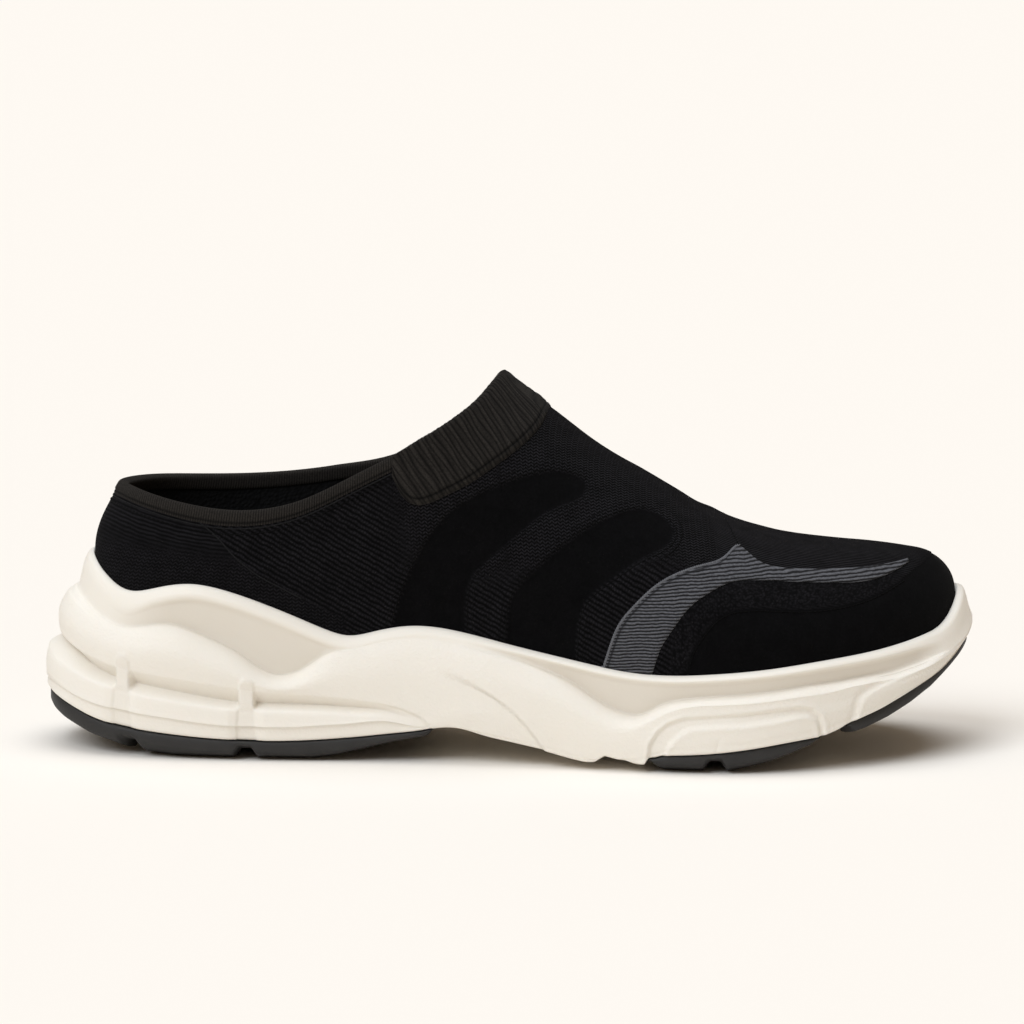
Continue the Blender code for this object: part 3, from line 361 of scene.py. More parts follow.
def cut_share(turn):
    """How far up a rib of the last the collar cuts it, seen from the side."""
    near, medial = folded(turn)
    rib = last_rib(turn)
    low = np.full(np.shape(near), 0.1)
    high = np.ones(np.shape(near))
    for _ in range(26):
        middle = (low + high) / 2
        point = bezier(rib, middle)
        along = point[..., 0] / LENGTH + 0.5
        lift = np.where(medial, collar_line[1](along), collar_line[0](along))
        below = point[..., 2] < lift * CUFF_RISE + COLLAR_HEIGHT
        low = np.where(below, middle, low)
        high = np.where(below, high, middle)
    return np.where(near >= APEX, 1.0, (low + high) / 2)


def last_weight(turn):
    """How much of the surface comes from the ribs over the instep, not those of the opening."""
    return smoothstep(BLEND[0], BLEND[1], folded(turn)[0] / APEX)


def upper_point(turn, v):
    """Outer face of the upper, for arrays of turn and v of one shape."""
    turn = np.asarray(turn, float)
    weight = last_weight(turn)[..., None]
    return (bezier(opening_rib(turn), v) * (1 - weight)
            + bezier(last_rib(turn), v * cut_share(turn)) * weight)


def face_normal(make_rib, turn, v):
    v = np.clip(v, 0.02, 0.98)
    along = bezier(make_rib(turn + 0.001), v) - bezier(make_rib(turn - 0.001), v)
    rib = make_rib(turn)
    normal = np.cross(along, bezier(rib, v + 0.01) - bezier(rib, v - 0.01))
    return normal / np.linalg.norm(normal, axis=-1, keepdims=True)


def upper_normal(turn, v):
    turn = np.asarray(turn, float)
    weight = last_weight(turn)[..., None]
    normal = (face_normal(opening_rib, turn, v) * (1 - weight)
              + face_normal(last_rib, turn, v * cut_share(turn)) * weight)
    return normal / np.linalg.norm(normal, axis=-1, keepdims=True)


def share_at(turn, height):
    """v of the place on each rib at a height above the floor."""
    low = np.zeros(np.shape(turn))
    high = np.ones(np.shape(turn))
    for _ in range(22):
        middle = (low + high) / 2
        below = upper_point(turn, middle)[..., 2] < height
        low = np.where(below, middle, low)
        high = np.where(below, high, middle)
    return (low + high) / 2


def share_of_height(turn, height):
    """v of the place on each rib at a share of the rib's height."""
    foot = feather_height(turn)
    top = upper_point(turn, np.ones(np.shape(turn)))[..., 2]
    return share_at(turn, foot + height * (top - foot))


# Meshes

def mesh_piece(name, points, faces, materials, slots=None):
    """Smooth-shaded piece from points and faces; slots gives each face's material number."""
    data = bpy.data.meshes.new(name)
    data.from_pydata([tuple(point) for point in points], [], faces)
    for material in materials:
        data.materials.append(material)
    if slots is not None:
        data.polygons.foreach_set("material_index", np.asarray(slots, np.int32))
    data.shade_smooth()
    data.update()
    thing = bpy.data.objects.new(name, data)
    bpy.context.scene.collection.objects.link(thing)
    return thing


def grid_faces(columns, rows, closed, start=0):
    """Quads of a grid stored column by column; turned so that the outer side faces out."""
    faces = []
    for i in range(columns if closed else columns - 1):
        here = start + i * rows
        there = start + (i + 1) % columns * rows
        for j in range(rows - 1):
            faces.append((here + j, there + j, there + j + 1, here + j + 1))
    return faces


def tube_faces(columns, rows, closed=False):
    """Quads of a grid stored column by column, where each column is a closed ring."""
    faces = []
    for i in range(columns if closed else columns - 1):
        here, there = i * rows, (i + 1) % columns * rows
        for j in range(rows):
            k = (j + 1) % rows
            faces.append((here + j, there + j, there + k, here + k))
    return faces


def set_uv(thing, u, v, last=0, total=0.0):
    """UV map in real millimetres from one value a vertex; the last faces meet u at its total."""
    data = thing.data
    corner = np.zeros(len(data.loops), np.int32)
    data.loops.foreach_get("vertex_index", corner)
    layer = data.uv_layers.new(name="cloth")
    pairs = np.stack([np.asarray(u)[corner], np.asarray(v)[corner]], -1)
    if last:
        seam = pairs[-4 * last:, 0]
        seam[seam < total / 2] += total
    layer.data.foreach_set("uv", pairs.astype(np.float32).ravel())


def set_value(thing, name, values):
    """Named value at every vertex, for a material's Attribute node."""
    layer = thing.data.attributes.new(name, "FLOAT", "POINT")
    layer.data.foreach_set("value", np.asarray(values, np.float32).ravel())


def face_out(thing, merge=0.0):
    """Turns every face outwards, once points closer than merge are joined."""
    mesh = bmesh.new()
    mesh.from_mesh(thing.data)
    if merge:
        bmesh.ops.remove_doubles(mesh, verts=mesh.verts, dist=merge)
        bmesh.ops.dissolve_degenerate(mesh, edges=mesh.edges, dist=1e-7)
    bmesh.ops.recalc_face_normals(mesh, faces=mesh.faces)
    mesh.to_mesh(thing.data)
    mesh.free()


def arc_turns(count, inset=0.0):
    """Turns at even steps of length round the plan."""
    fine = np.linspace(0, TAU, 6001)
    line = side_point(fine, np.full(fine.shape, inset), 0 * fine)
    run = np.concatenate([[0], np.cumsum(np.linalg.norm(np.diff(line, axis=0), axis=1))])
    return np.interp(np.arange(count) * run[-1] / count, run, fine)


def line_distance(points, path, closed=False):
    """Distance of points (n, 2) from a polyline, with the side: positive to the path's left."""
    path = np.asarray(path, float)
    ends = np.roll(path, -1, axis=0) if closed else path[1:]
    starts = path if closed else path[:-1]
    best = np.full(len(points), 1e9)
    side = np.ones(len(points))
    for a, b in zip(starts, ends):
        run = b - a
        share = np.clip(((points - a) @ run) / (run @ run), 0, 1)
        away = points - (a + share[:, None] * run)
        distance = np.hypot(away[:, 0], away[:, 1])
        closer = distance < best - 1e-9
        cross = run[0] * (points[:, 1] - a[1]) - run[1] * (points[:, 0] - a[0])
        side = np.where(closer, np.sign(cross), side)
        best = np.where(closer, distance, best)
    return best * np.where(side == 0, 1, side)


def inside_distance(points, outline):
    """Signed distance from a closed outline: positive inside it."""
    outline = np.asarray(outline, float)
    x, y = points[:, 0], points[:, 1]
    inside = np.zeros(len(points), bool)
    ends = np.roll(outline, -1, axis=0)
    for a, b in zip(outline, ends):
        crosses = (a[1] > y) != (b[1] > y)
        level = (b[0] - a[0]) * (y - a[1]) / (b[1] - a[1] + 1e-12) + a[0]
        inside ^= crosses & (x < level)
    distance = np.abs(line_distance(points, outline, closed=True))
    return np.where(inside, distance, -distance)


def fine_line(path, steps=10):
    """Smooth curve through given points, as many short straight steps."""
    path = np.asarray(path, float)
    run = np.concatenate([[0], np.cumsum(np.hypot(*np.diff(path, axis=0).T))])
    at = np.linspace(0, run[-1], steps * (len(path) - 1) + 1)
    return np.stack([spline(run, path[:, 0])(at), spline(run, path[:, 1])(at)], -1)


# Materials

def colour(code):
    """Linear colour of an sRGB hex code."""
    channels = [int(code[i:i + 2], 16) / 255 for i in (1, 3, 5)]
    return tuple(c / 12.92 if c <= 0.04045 else ((c + 0.055) / 1.055) ** 2.4
                 for c in channels) + (1.0,)


def add(tree, kind, settings=None, links=None):
    """Adds a node, sets its properties and sockets, and links its inputs to other sockets."""
    node = tree.nodes.new(kind)
    for name, value in (settings or {}).items():
        if isinstance(name, str) and hasattr(node, name):
            setattr(node, name, value)
        else:
            node.inputs[name].default_value = value
    for name, socket in (links or {}).items():
        tree.links.new(socket, node.inputs[name])
    return node


def start_material(name, roughness, specular, sheen=0.0):
    """Principled material with its constant values set on the shader itself."""
    material = bpy.data.materials.new(name)
    material.use_nodes = True
    tree = material.node_tree
    shader = tree.nodes["Principled BSDF"]
    shader.inputs["Roughness"].default_value = roughness
    shader.inputs["Specular IOR Level"].default_value = specular
    shader.inputs["Sheen Weight"].default_value = sheen
    shader.inputs["Sheen Roughness"].default_value = 0.6
    return material, tree, shader


def finish_material(tree, shader, height, depth, shade, low, high):
    """Bump of a real depth from a height socket, and a colour mixed by a shade socket."""
    bump = add(tree, "ShaderNodeBump", {"Distance": depth, "Strength": 1.0}, {"Height": height})
    tree.links.new(bump.outputs[0], shader.inputs["Normal"])
    mix = add(tree, "ShaderNodeMix", {"data_type": "RGBA", 6: colour(low), 7: colour(high)},
              {0: shade})
    tree.links.new(mix.outputs[2], shader.inputs["Base Color"])


# A band of the wave texture is a tenth of pi long at scale 1
WAVE = math.pi / 10


def foam_material():
    """Injection-moulded EVA: matte cream skin, grained where the mould was textured.

    The recessed panels, the heel's groove and the saddles are painted a darker cream, as painted
    shade.
    """
    material, tree, shader = start_material("moulded_eva_foam", 0.55, 0.35)
    place = add(tree, "ShaderNodeTexCoord").outputs["Object"]
    grain = add(tree, "ShaderNodeTexNoise", {"Scale": 1 / (1.0 * MM), "Detail": 3.0,
                "Roughness": 0.6}, {"Vector": place})
    satin = add(tree, "ShaderNodeAttribute", {"attribute_name": "satin"})
    painted_recess_shade = add(tree, "ShaderNodeAttribute", {"attribute_name": "painted_recess_shade"})
    depth = add(tree, "ShaderNodeMath", {"operation": "MULTIPLY_ADD", 1: 0.8, 2: 0.2},
                {0: satin.outputs["Fac"]})
    height = add(tree, "ShaderNodeMath", {"operation": "MULTIPLY"},
                 {0: grain.outputs[0], 1: depth.outputs[0]})
    cloud = add(tree, "ShaderNodeTexNoise", {"Scale": 1 / (22 * MM), "Detail": 2.0},
                {"Vector": place})
    faint = add(tree, "ShaderNodeMath", {"operation": "MULTIPLY", 1: 0.14},
                {0: cloud.outputs[0]})
    # Painted shade: darker cream where the recess value marks the hollows, with a faint random
    # tone over all
    shade = add(tree, "ShaderNodeMath", {"operation": "MULTIPLY_ADD", 1: 0.60},
                {0: painted_recess_shade.outputs["Fac"], 2: faint.outputs[0]})
    finish_material(tree, shader, height.outputs[0], 0.22 * MM, shade.outputs[0],
                    "#F1ECE2", "#DAD2C5")
    shader.inputs["Subsurface Weight"].default_value = 0.05
    shader.inputs["Subsurface Radius"].default_value = (0.0030, 0.0022, 0.0015)
    shader.inputs["Subsurface Scale"].default_value = 1.0
    return material


def rubber_material():
    """Vulcanised blown rubber: near-black grey and dull, with a fine grain from the mould."""
    material, tree, shader = start_material("vulcanised_rubber", 0.60, 0.35)
    place = add(tree, "ShaderNodeTexCoord").outputs["Object"]
    grain = add(tree, "ShaderNodeTexNoise", {"Scale": 1 / (0.6 * MM), "Detail": 3.0},
                {"Vector": place})
    cloud = add(tree, "ShaderNodeTexNoise", {"Scale": 1 / (9 * MM), "Detail": 4.0},
                {"Vector": place})
    finish_material(tree, shader, grain.outputs[0], 0.10 * MM, cloud.outputs[0],
                    "#262525", "#323130")
    return material


def knit_material():
    """Circular-knit polyester: matte black yarn, painted lighter on the tops of its stitches as a
    painted highlight.

    Each zone has its own stitch: slanted ribs on the quarter, rows round the heel's top, plain
    V stitches on the instep, fine rows over the toes, a coarse band under the accent, and a
    smooth jersey in the windows and on the toe cap. The stitches are drawn 1 to 1.6 mm apart,
    coarser than real ones, so that they show.
    """
    material, tree, shader = start_material("circular_knit_polyester", 0.95, 0.025, 0.012)
    place = add(tree, "ShaderNodeTexCoord").outputs["Object"]
    cloth = add(tree, "ShaderNodeUVMap", {"uv_map": "cloth"}).outputs[0]
    zone = {name: add(tree, "ShaderNodeAttribute", {"attribute_name": name}).outputs["Fac"]
            for name in ("ribs", "pique", "rows", "hoops", "coarse", "from_top")}
    # Slanted ribs, each a chain of links
    slanted = add(tree, "ShaderNodeMapping", {"Rotation": (0, math.radians(61), 0)},
                  {"Vector": place})
    ribs = add(tree, "ShaderNodeTexWave", {"bands_direction": "X", "Scale": WAVE / (1.55 * MM),
               "Distortion": 2.6, "Detail": 3.0, "Detail Scale": 1.8},
               {"Vector": slanted.outputs[0]})
    chain = add(tree, "ShaderNodeTexWave", {"bands_direction": "Z", "Scale": WAVE / (1.0 * MM),
                "Distortion": 6.0, "Detail": 3.0, "Detail Scale": 2.6},
                {"Vector": slanted.outputs[0]})
    linked = add(tree, "ShaderNodeMath", {"operation": "MULTIPLY_ADD", 1: 0.45, 2: 0.4},
                 {0: chain.outputs[1]})
    rib = add(tree, "ShaderNodeMath", {"operation": "MULTIPLY"},
              {0: ribs.outputs[1], 1: linked.outputs[0]})
    # Rows and hoops that follow the rim
    spot = add(tree, "ShaderNodeSeparateXYZ", {}, {0: place})
    along = add(tree, "ShaderNodeMath", {"operation": "MULTIPLY", 1: 1000.0},
                {0: spot.outputs[0]})
    from_top = add(tree, "ShaderNodeCombineXYZ", {}, {0: along.outputs[0], 1: zone["from_top"]})
    rows = add(tree, "ShaderNodeTexWave", {"bands_direction": "Y", "Scale": WAVE / 1.05,
               "Distortion": 1.8, "Detail": 3.0, "Detail Scale": 0.9},
               {"Vector": from_top.outputs[0]})
    hoops = add(tree, "ShaderNodeTexWave", {"bands_direction": "Y", "Scale": WAVE / 1.25,
                "Distortion": 2.8, "Detail": 4.0, "Detail Scale": 0.9},
                {"Vector": from_top.outputs[0]})
    # V stitches: rows that zigzag from one upright gutter to the next
    part = add(tree, "ShaderNodeSeparateXYZ", {}, {0: cloth})
    zigzag = add(tree, "ShaderNodeMath", {"operation": "PINGPONG", 1: 1.0}, {0: part.outputs[0]})
    lean = add(tree, "ShaderNodeMath", {"operation": "MULTIPLY_ADD", 1: 0.75},
               {0: zigzag.outputs[0], 2: part.outputs[1]})
    wales = add(tree, "ShaderNodeCombineXYZ", {}, {0: part.outputs[0], 1: lean.outputs[0]})
    loops = add(tree, "ShaderNodeTexWave", {"bands_direction": "Y", "Scale": WAVE / 1.15,
                "Distortion": 1.8, "Detail": 3.0, "Detail Scale": 1.1},
                {"Vector": wales.outputs[0]})
    gutters = add(tree, "ShaderNodeTexWave", {"bands_direction": "X", "Scale": WAVE / 1.0,
                  "Distortion": 0.6, "Detail": 1.0}, {"Vector": wales.outputs[0]})
    wale = add(tree, "ShaderNodeMath", {"operation": "MULTIPLY_ADD", 1: 0.5, 2: 0.5},
               {0: gutters.outputs[1]})
    stitch = add(tree, "ShaderNodeMath", {"operation": "MULTIPLY"},
                 {0: loops.outputs[1], 1: wale.outputs[0]})
    # Coarse stitches as pebbles
    pebbles = add(tree, "ShaderNodeTexVoronoi", {"feature": "SMOOTH_F1", "Scale": 1.15,
                  "Smoothness": 0.4, "Randomness": 0.8}, {"Vector": cloth})
    coarse = add(tree, "ShaderNodeMapRange", {"From Min": 0.65, "From Max": 0.10,
                 "To Min": 0.1, "To Max": 0.5}, {"Value": pebbles.outputs[0]})
    # Plain jersey everywhere, and each zone's pattern over it
    fuzz = add(tree, "ShaderNodeTexNoise", {"Scale": 1 / (0.8 * MM), "Detail": 3.0,
               "Roughness": 0.7}, {"Vector": place})
    height = add(tree, "ShaderNodeMath", {"operation": "MULTIPLY", 1: 0.19},
                 {0: fuzz.outputs[0]}).outputs[0]
    for name, pattern in (("coarse", coarse.outputs[0]), ("pique", stitch.outputs[0]),
                          ("rows", rows.outputs[1]), ("hoops", hoops.outputs[1]),
                          ("ribs", rib.outputs[0])):
        mix = add(tree, "ShaderNodeMix", {"data_type": "FLOAT"},
                  {0: zone[name], 2: height, 3: pattern})
        height = mix.outputs[0]
    # Painted highlight: the stitches' raised tops are painted lighter, unevenly in patches about 5
    # mm across; the hollows keep the black yarn's colour
    highlight_mottle = add(tree, "ShaderNodeTexNoise", {"Scale": 1 / (5 * MM), "Detail": 6.0,
               "Roughness": 0.75}, {"Vector": place})
    shade = add(tree, "ShaderNodeMath", {"operation": "MULTIPLY"},
                {0: height, 1: highlight_mottle.outputs[0]})
    strong = add(tree, "ShaderNodeMath", {"operation": "MULTIPLY", 1: 2.1}, {0: shade.outputs[0]})
    finish_material(tree, shader, height, 0.42 * MM, strong.outputs[0], "#030303", "#262528")
    return material


def ribbed_material():
    """Rib-knit elastic band: warm black yarn, painted lighter on the crowns of its ribs as a
    painted highlight.

    The ribs are in the mesh; "crown" says where they stand and how much painted highlight each
    place gets.
    """
    material, tree, shader = start_material("rib_knit_elastic", 0.95, 0.04, 0.02)
    place = add(tree, "ShaderNodeTexCoord").outputs["Object"]
    crown = add(tree, "ShaderNodeAttribute", {"attribute_name": "crown"}).outputs["Fac"]
    fibre = add(tree, "ShaderNodeTexNoise", {"Scale": 1 / (0.5 * MM), "Detail": 3.0,
                "Roughness": 0.7}, {"Vector": place})
    shade = add(tree, "ShaderNodeMath", {"operation": "MULTIPLY"},
                {0: crown, 1: fibre.outputs[0]})
    strong = add(tree, "ShaderNodeMath", {"operation": "MULTIPLY", 1: 1.6}, {0: shade.outputs[0]})
    finish_material(tree, shader, fibre.outputs[0], 0.18 * MM, strong.outputs[0],
                    "#050505", "#312E2B")
    return material


def striped_material():
    """Two-yarn jacquard: grey yarn in wavy rows over a black ground.

    The rows are drawn a millimetre apart, a little coarser than real ones, so that they show.
    """
    material, tree, shader = start_material("two_yarn_jacquard", 0.9, 0.06, 0.03)
    place = add(tree, "ShaderNodeTexCoord").outputs["Object"]
    turned = add(tree, "ShaderNodeMapping", {"Rotation": (0, math.radians(3), 0)},
                 {"Vector": place})
    rows = add(tree, "ShaderNodeTexWave", {"bands_direction": "Z", "Scale": WAVE / (1.02 * MM),
               "Distortion": 5.0, "Detail": 4.0, "Detail Scale": 0.38, "Detail Roughness": 0.65},
               {"Vector": turned.outputs[0]})
    fibre = add(tree, "ShaderNodeTexNoise", {"Scale": 1 / (0.9 * MM), "Detail": 4.0,
                "Roughness": 0.75}, {"Vector": place})
    crown = add(tree, "ShaderNodeAttribute", {"attribute_name": "crown"}).outputs["Fac"]
    crest = add(tree, "ShaderNodeMapRange", {"From Min": 0.15, "From Max": 0.75},
                {"Value": rows.outputs[1]})
    inlaid = add(tree, "ShaderNodeMath", {"operation": "MULTIPLY"},
                 {0: crest.outputs[0], 1: crown})
    shade = add(tree, "ShaderNodeMath", {"operation": "MULTIPLY"},
                {0: inlaid.outputs[0], 1: fibre.outputs[0]})
    strong = add(tree, "ShaderNodeMath", {"operation": "MULTIPLY", 1: 1.75}, {0: shade.outputs[0]})
    finish_material(tree, shader, rows.outputs[1], 0.30 * MM, strong.outputs[0],
                    "#1C1C1E", "#626368")
    return material


def lining_material():
    """Looped terry lining: soft black loops that swallow the light, their tops painted a little
    lighter as a painted highlight.

    The loops are drawn a little over a millimetre across, larger than real ones, to show.
    """
    material, tree, shader = start_material("terry_lining", 1.0, 0.05, 0.05)
    cloth = add(tree, "ShaderNodeUVMap", {"uv_map": "cloth"}).outputs[0]
    loops = add(tree, "ShaderNodeTexVoronoi", {"feature": "F1", "Scale": 0.8,
                "Randomness": 0.8}, {"Vector": cloth})
    tops = add(tree, "ShaderNodeMath", {"operation": "SUBTRACT", 0: 1.0}, {1: loops.outputs[0]})
    finish_material(tree, shader, tops.outputs[0], 0.5 * MM, tops.outputs[0],
                    "#020202", "#161617")
    return material


def insole_material():
    """Plain-woven cloth over foam: crossing threads with a dull sheen, painted lighter where they
    stand up as a painted highlight.

    They are drawn 0.9 mm apart, coarser than real ones, so that they show.
    """
    material, tree, shader = start_material("woven_insole_cloth", 0.9, 0.15, 0.05)
    cloth = add(tree, "ShaderNodeUVMap", {"uv_map": "cloth"}).outputs[0]
    warp = add(tree, "ShaderNodeTexWave", {"bands_direction": "X", "Scale": WAVE / 0.9},
               {"Vector": cloth})
    weft = add(tree, "ShaderNodeTexWave", {"bands_direction": "Y", "Scale": WAVE / 0.9},
               {"Vector": cloth})
    both = add(tree, "ShaderNodeMath", {"operation": "MAXIMUM"},
               {0: warp.outputs[1], 1: weft.outputs[1]})
    finish_material(tree, shader, both.outputs[0], 0.2 * MM, both.outputs[0],
                    "#0B0B0C", "#202022")
    return material


def thread_material(name, low, high):
    """Spun polyester thread: matte, mottled along its twist."""
    material, tree, shader = start_material(name, 0.9, 0.05, 0.02)
    place = add(tree, "ShaderNodeTexCoord").outputs["Object"]
    twist = add(tree, "ShaderNodeTexNoise", {"Scale": 1 / (0.5 * MM), "Detail": 2.0},
                {"Vector": place})
    finish_material(tree, shader, twist.outputs[0], 0.08 * MM, twist.outputs[0], low, high)
    return material


foam = foam_material()
rubber = rubber_material()
knit = knit_material()
ribbed = ribbed_material()
jacquard = striped_material()
lining = lining_material()
insole_cloth = insole_material()
black_thread = thread_material("black_thread", "#020202", "#0C0C0C")
black_cord = thread_material("black_cord", "#0D0D0D", "#252526")
grey_cord = thread_material("grey_cord", "#3B3C3F", "#7E7F84")


# Midsole

# Along the sole, x and the values in millimetres unless it says otherwise
LIP_WIDTH = (  # x, width of the rounded lip under the cloth's edge
    (-150, 4.2), (-132, 4.4), (-124, 6.0), (-114, 4.2), (-100, 3.6), (-60, 3.6), (-50, 3.3),
    (-40, 3.0), (-12, 1.6), (2, 1.6), (30, 1.8), (60, 1.9), (85, 2.0), (110, 2.2), (126, 2.4),
    (134, 2.8), (141, 3.8), (150, 4.2))
PANEL_DEPTH = (  # x, depth of the hollow panels below the lip
    (-150, 0.0), (-130, 0.0), (-116, 0.7), (-105, 1.1), (-60, 1.1), (-50, 0.5), (-44, 0.0),
    (-13, 0.0), (0, 0.5), (20, 1.0), (100, 1.0), (135, 0.9), (142, 0.0), (150, 0.0))
PANEL_SOFTNESS = (  # x, height over which the lip runs down into the panel
    (-150, 2.2), (-45, 2.2), (-10, 1.1), (150, 0.9))
CREST_ROUND = (  # x, what the corners of the ledge have in radius beyond the profile's
    (-150, 2.0), (-125, 1.2), (-112, 0.5), (-64, 0.5), (-50, 3.0), (-40, 6.0), (-16, 6.0),
    (0, 1.6), (25, 0.6), (120, 0.6), (132, 2.0), (142, 6.0), (150, 6.0))
CREST_MERGED = (  # x, 1 where the ledge runs out into one smooth wall
    (-150, 0.0), (-56, 0.0), (-44, 1.0), (-16, 1.0), (4, 0.0), (133, 0.0), (142, 1.0),
    (150, 1.0))
CREST_DEEPER = (  # x, how far the ledge lies further in, in units of SCULPT
    (-150, 0.0), (-125, 0.0), (-108, 0.10), (-62, 0.12), (-48, 0.0), (-5, 0.0), (20, 0.10),
    (120, 0.10), (138, 0.0), (150, -0.06))
CREST_LOWERED = (  # x, how far the ledge lies lower than in the part
    (-150, 0.0), (40, 0.0), (60, 1.1), (85, 0.7), (100, 0.9), (110, 1.9), (119, 2.3),
    (126, 2.9), (135, 2.6), (142, 1.8), (150, 1.8))
STEP_RAISED = (  # x, how far the foot of the heel's blocks lies higher
    (-150, 1.4), (-125, 1.6), (-105, 2.0), (-60, 2.0), (-35, 0.6), (-20, 0.0), (150, 0.0))
EDGE_RAISED = (  # x, how far the foam's lower edge lies higher
    (-150, 2.2), (-100, 2.2), (-50, 2.0), (-25, 1.6), (0, 1.6), (28, 1.0), (45, 1.4), (52, 2.2),
    (100, 1.8), (108, 1.5), (125, 2.3), (150, 2.4))
FOOT_NOTCHES = (  # x, how far the foam's foot is raised
    (27, 0.0), (30, 0.3), (33.5, 2.4), (37.9, 1.1), (39.8, 0.9), (42.4, 0.0), (46.2, -0.9),
    (47.5, 0.6), (49.5, 0.0))
SADDLES = ((-122.6, 33.0), (-81.3, 26.4))  # x, top of the upright saddles between the blocks

# Relief on the foam's flank, x and z in side view
FLANK_FOLD = (
    (-21.5, 31.9), (-17.3, 30.0), (-14.7, 28.9), (-10.5, 27.1), (-6.3, 25.1), (-2.5, 23.0),
    (0.7, 20.9), (3.6, 18.6), (6.3, 16.0), (10.7, 10.7), (14.5, 5.0), (16.5, 1.0))
BLOCK_END = (
    (-42, 19.8), (-38.5, 19.3), (-32.5, 18.1), (-28.8, 16.8), (-25.6, 15.2), (-23.4, 13.6),
    (-21.0, 10.5), (-19.0, 7.0))
PLATE_OUTER = (
    (46.5, -8), (46.7, 2), (47.5, 9.3), (50.0, 13.5), (53.6, 16.5), (58.8, 18.3), (66.7, 18.9),
    (77.3, 19.6), (88.3, 20.9), (95.5, 21.6), (99.7, 20.9), (102.2, 18.5), (103.3, 15.0),
    (103.6, 10), (103.6, -8))
PLATE_INNER = (
    (51.5, -8), (52.3, 3), (54.2, 8.5), (57.2, 12.0), (61.0, 14.2), (68.1, 14.8), (77.4, 15.2),
    (88.3, 16.7), (94.6, 18.0), (97.9, 18.0), (99.9, 16.8), (100.9, 14.2), (101.5, 10),
    (101.6, -8))
PLATE_CREASE = ((68.3, 3.0), (68.9, 6.9), (69.6, 9.8), (70.6, 12.9), (71.2, 14.5))
TOE_PLATE = (
    (109.6, 9.5), (111.2, 13.8), (112.2, 15.7), (113.4, 19.8), (114.4, 22.6), (116.4, 24.6),
    (121.4, 26.8), (127.9, 29.2), (131.5, 30.3), (136.2, 32.1), (139.4, 33.6), (145, 37))

MIDSOLE_PAIRS = 470
PROFILE = (  # line, corner radius in mm, rows above its corner, rows in its corner
    ("rim_top", 0.8, 2, 2), ("rim_face", 1.5, 1, 2), ("rim", 1.6, 1, 3), ("crest", 0.0, 13, 3),
    ("ledge", 0.5, 1, 3), ("shoulder", 9, 2, 5), ("belly", 20, 2, 7), ("chamfer", 0.5, 5, 3),
    ("groove", 0.45, 4, 3), ("block", 0.9, 3, 3), ("step", 0.25, 6, 2), ("edge", 0.5, 5, 4))
FOOT_ROWS = 2


def side_view(turns, heights):
    """x and z in side view, millimetres; inner heights are set against the outer side's rim."""
    near = folded(turns)[0]
    x = (along_at(near) - 0.5) * LENGTH / MM
    return x, heights / MM * feather_height(near) / feather_height(turns)


def table(x, rows):
    """Value of a table of pairs at x, straight between its rows."""
    return np.interp(x, [row[0] for row in rows], [row[1] for row in rows])


def paired_turns(pairs, wanted):
    """Turns of one side, closer together where wanted(x) is larger, and their mirror images."""
    fine = np.linspace(0, math.pi, 4001)
    line = side_point(fine, np.full(fine.shape, 0.004), 0 * fine)
    step = np.linalg.norm(np.diff(line, axis=0), axis=1)
    weight = wanted((along_at(fine[1:]) - 0.5) * LENGTH / MM)
    run = np.concatenate([[0], np.cumsum(step * weight)])
    half = np.interp(np.linspace(0, run[-1], pairs + 1), run, fine)
    return np.concatenate([half, TAU - half[-2:0:-1]])


def near_any(x, places, reach):
    """1 at the places and falling off within the reach."""
    return np.max([np.exp(-((x - place) / reach) ** 2) for place in places], axis=0)


def sole_detail(x):
    """How fine the foam's columns are: finer at notches, saddles and creases."""
    edges = (-126, -120, -85, -79, 33, 47, 52, 70, 102, 111)
    return 0.8 + 1.0 * near_any(x, edges, 3.5) + 0.25 * near_any(x, (-60, 8), 30)


def tip_rise(turn):
    """How far the lip stands above the cloth's edge at the toe's tip and inner side, in mm."""
    return 2.6 * smoothstep(math.pi - 0.36, math.pi - 0.04, turn) * smoothstep(
        math.pi + 1.3, math.pi + 0.5, turn)


def edge_inset(turn):
    """Inset of the foam's lower edge: a little further out at both ends than in the solids."""
    x = (along_at(turn) - 0.5) * LENGTH / MM
    ends = 0.12 * smoothstep(134, 148, x) + 0.13 * smoothstep(-136, -148, x)
    return inset_share["edge"](turn) - ends


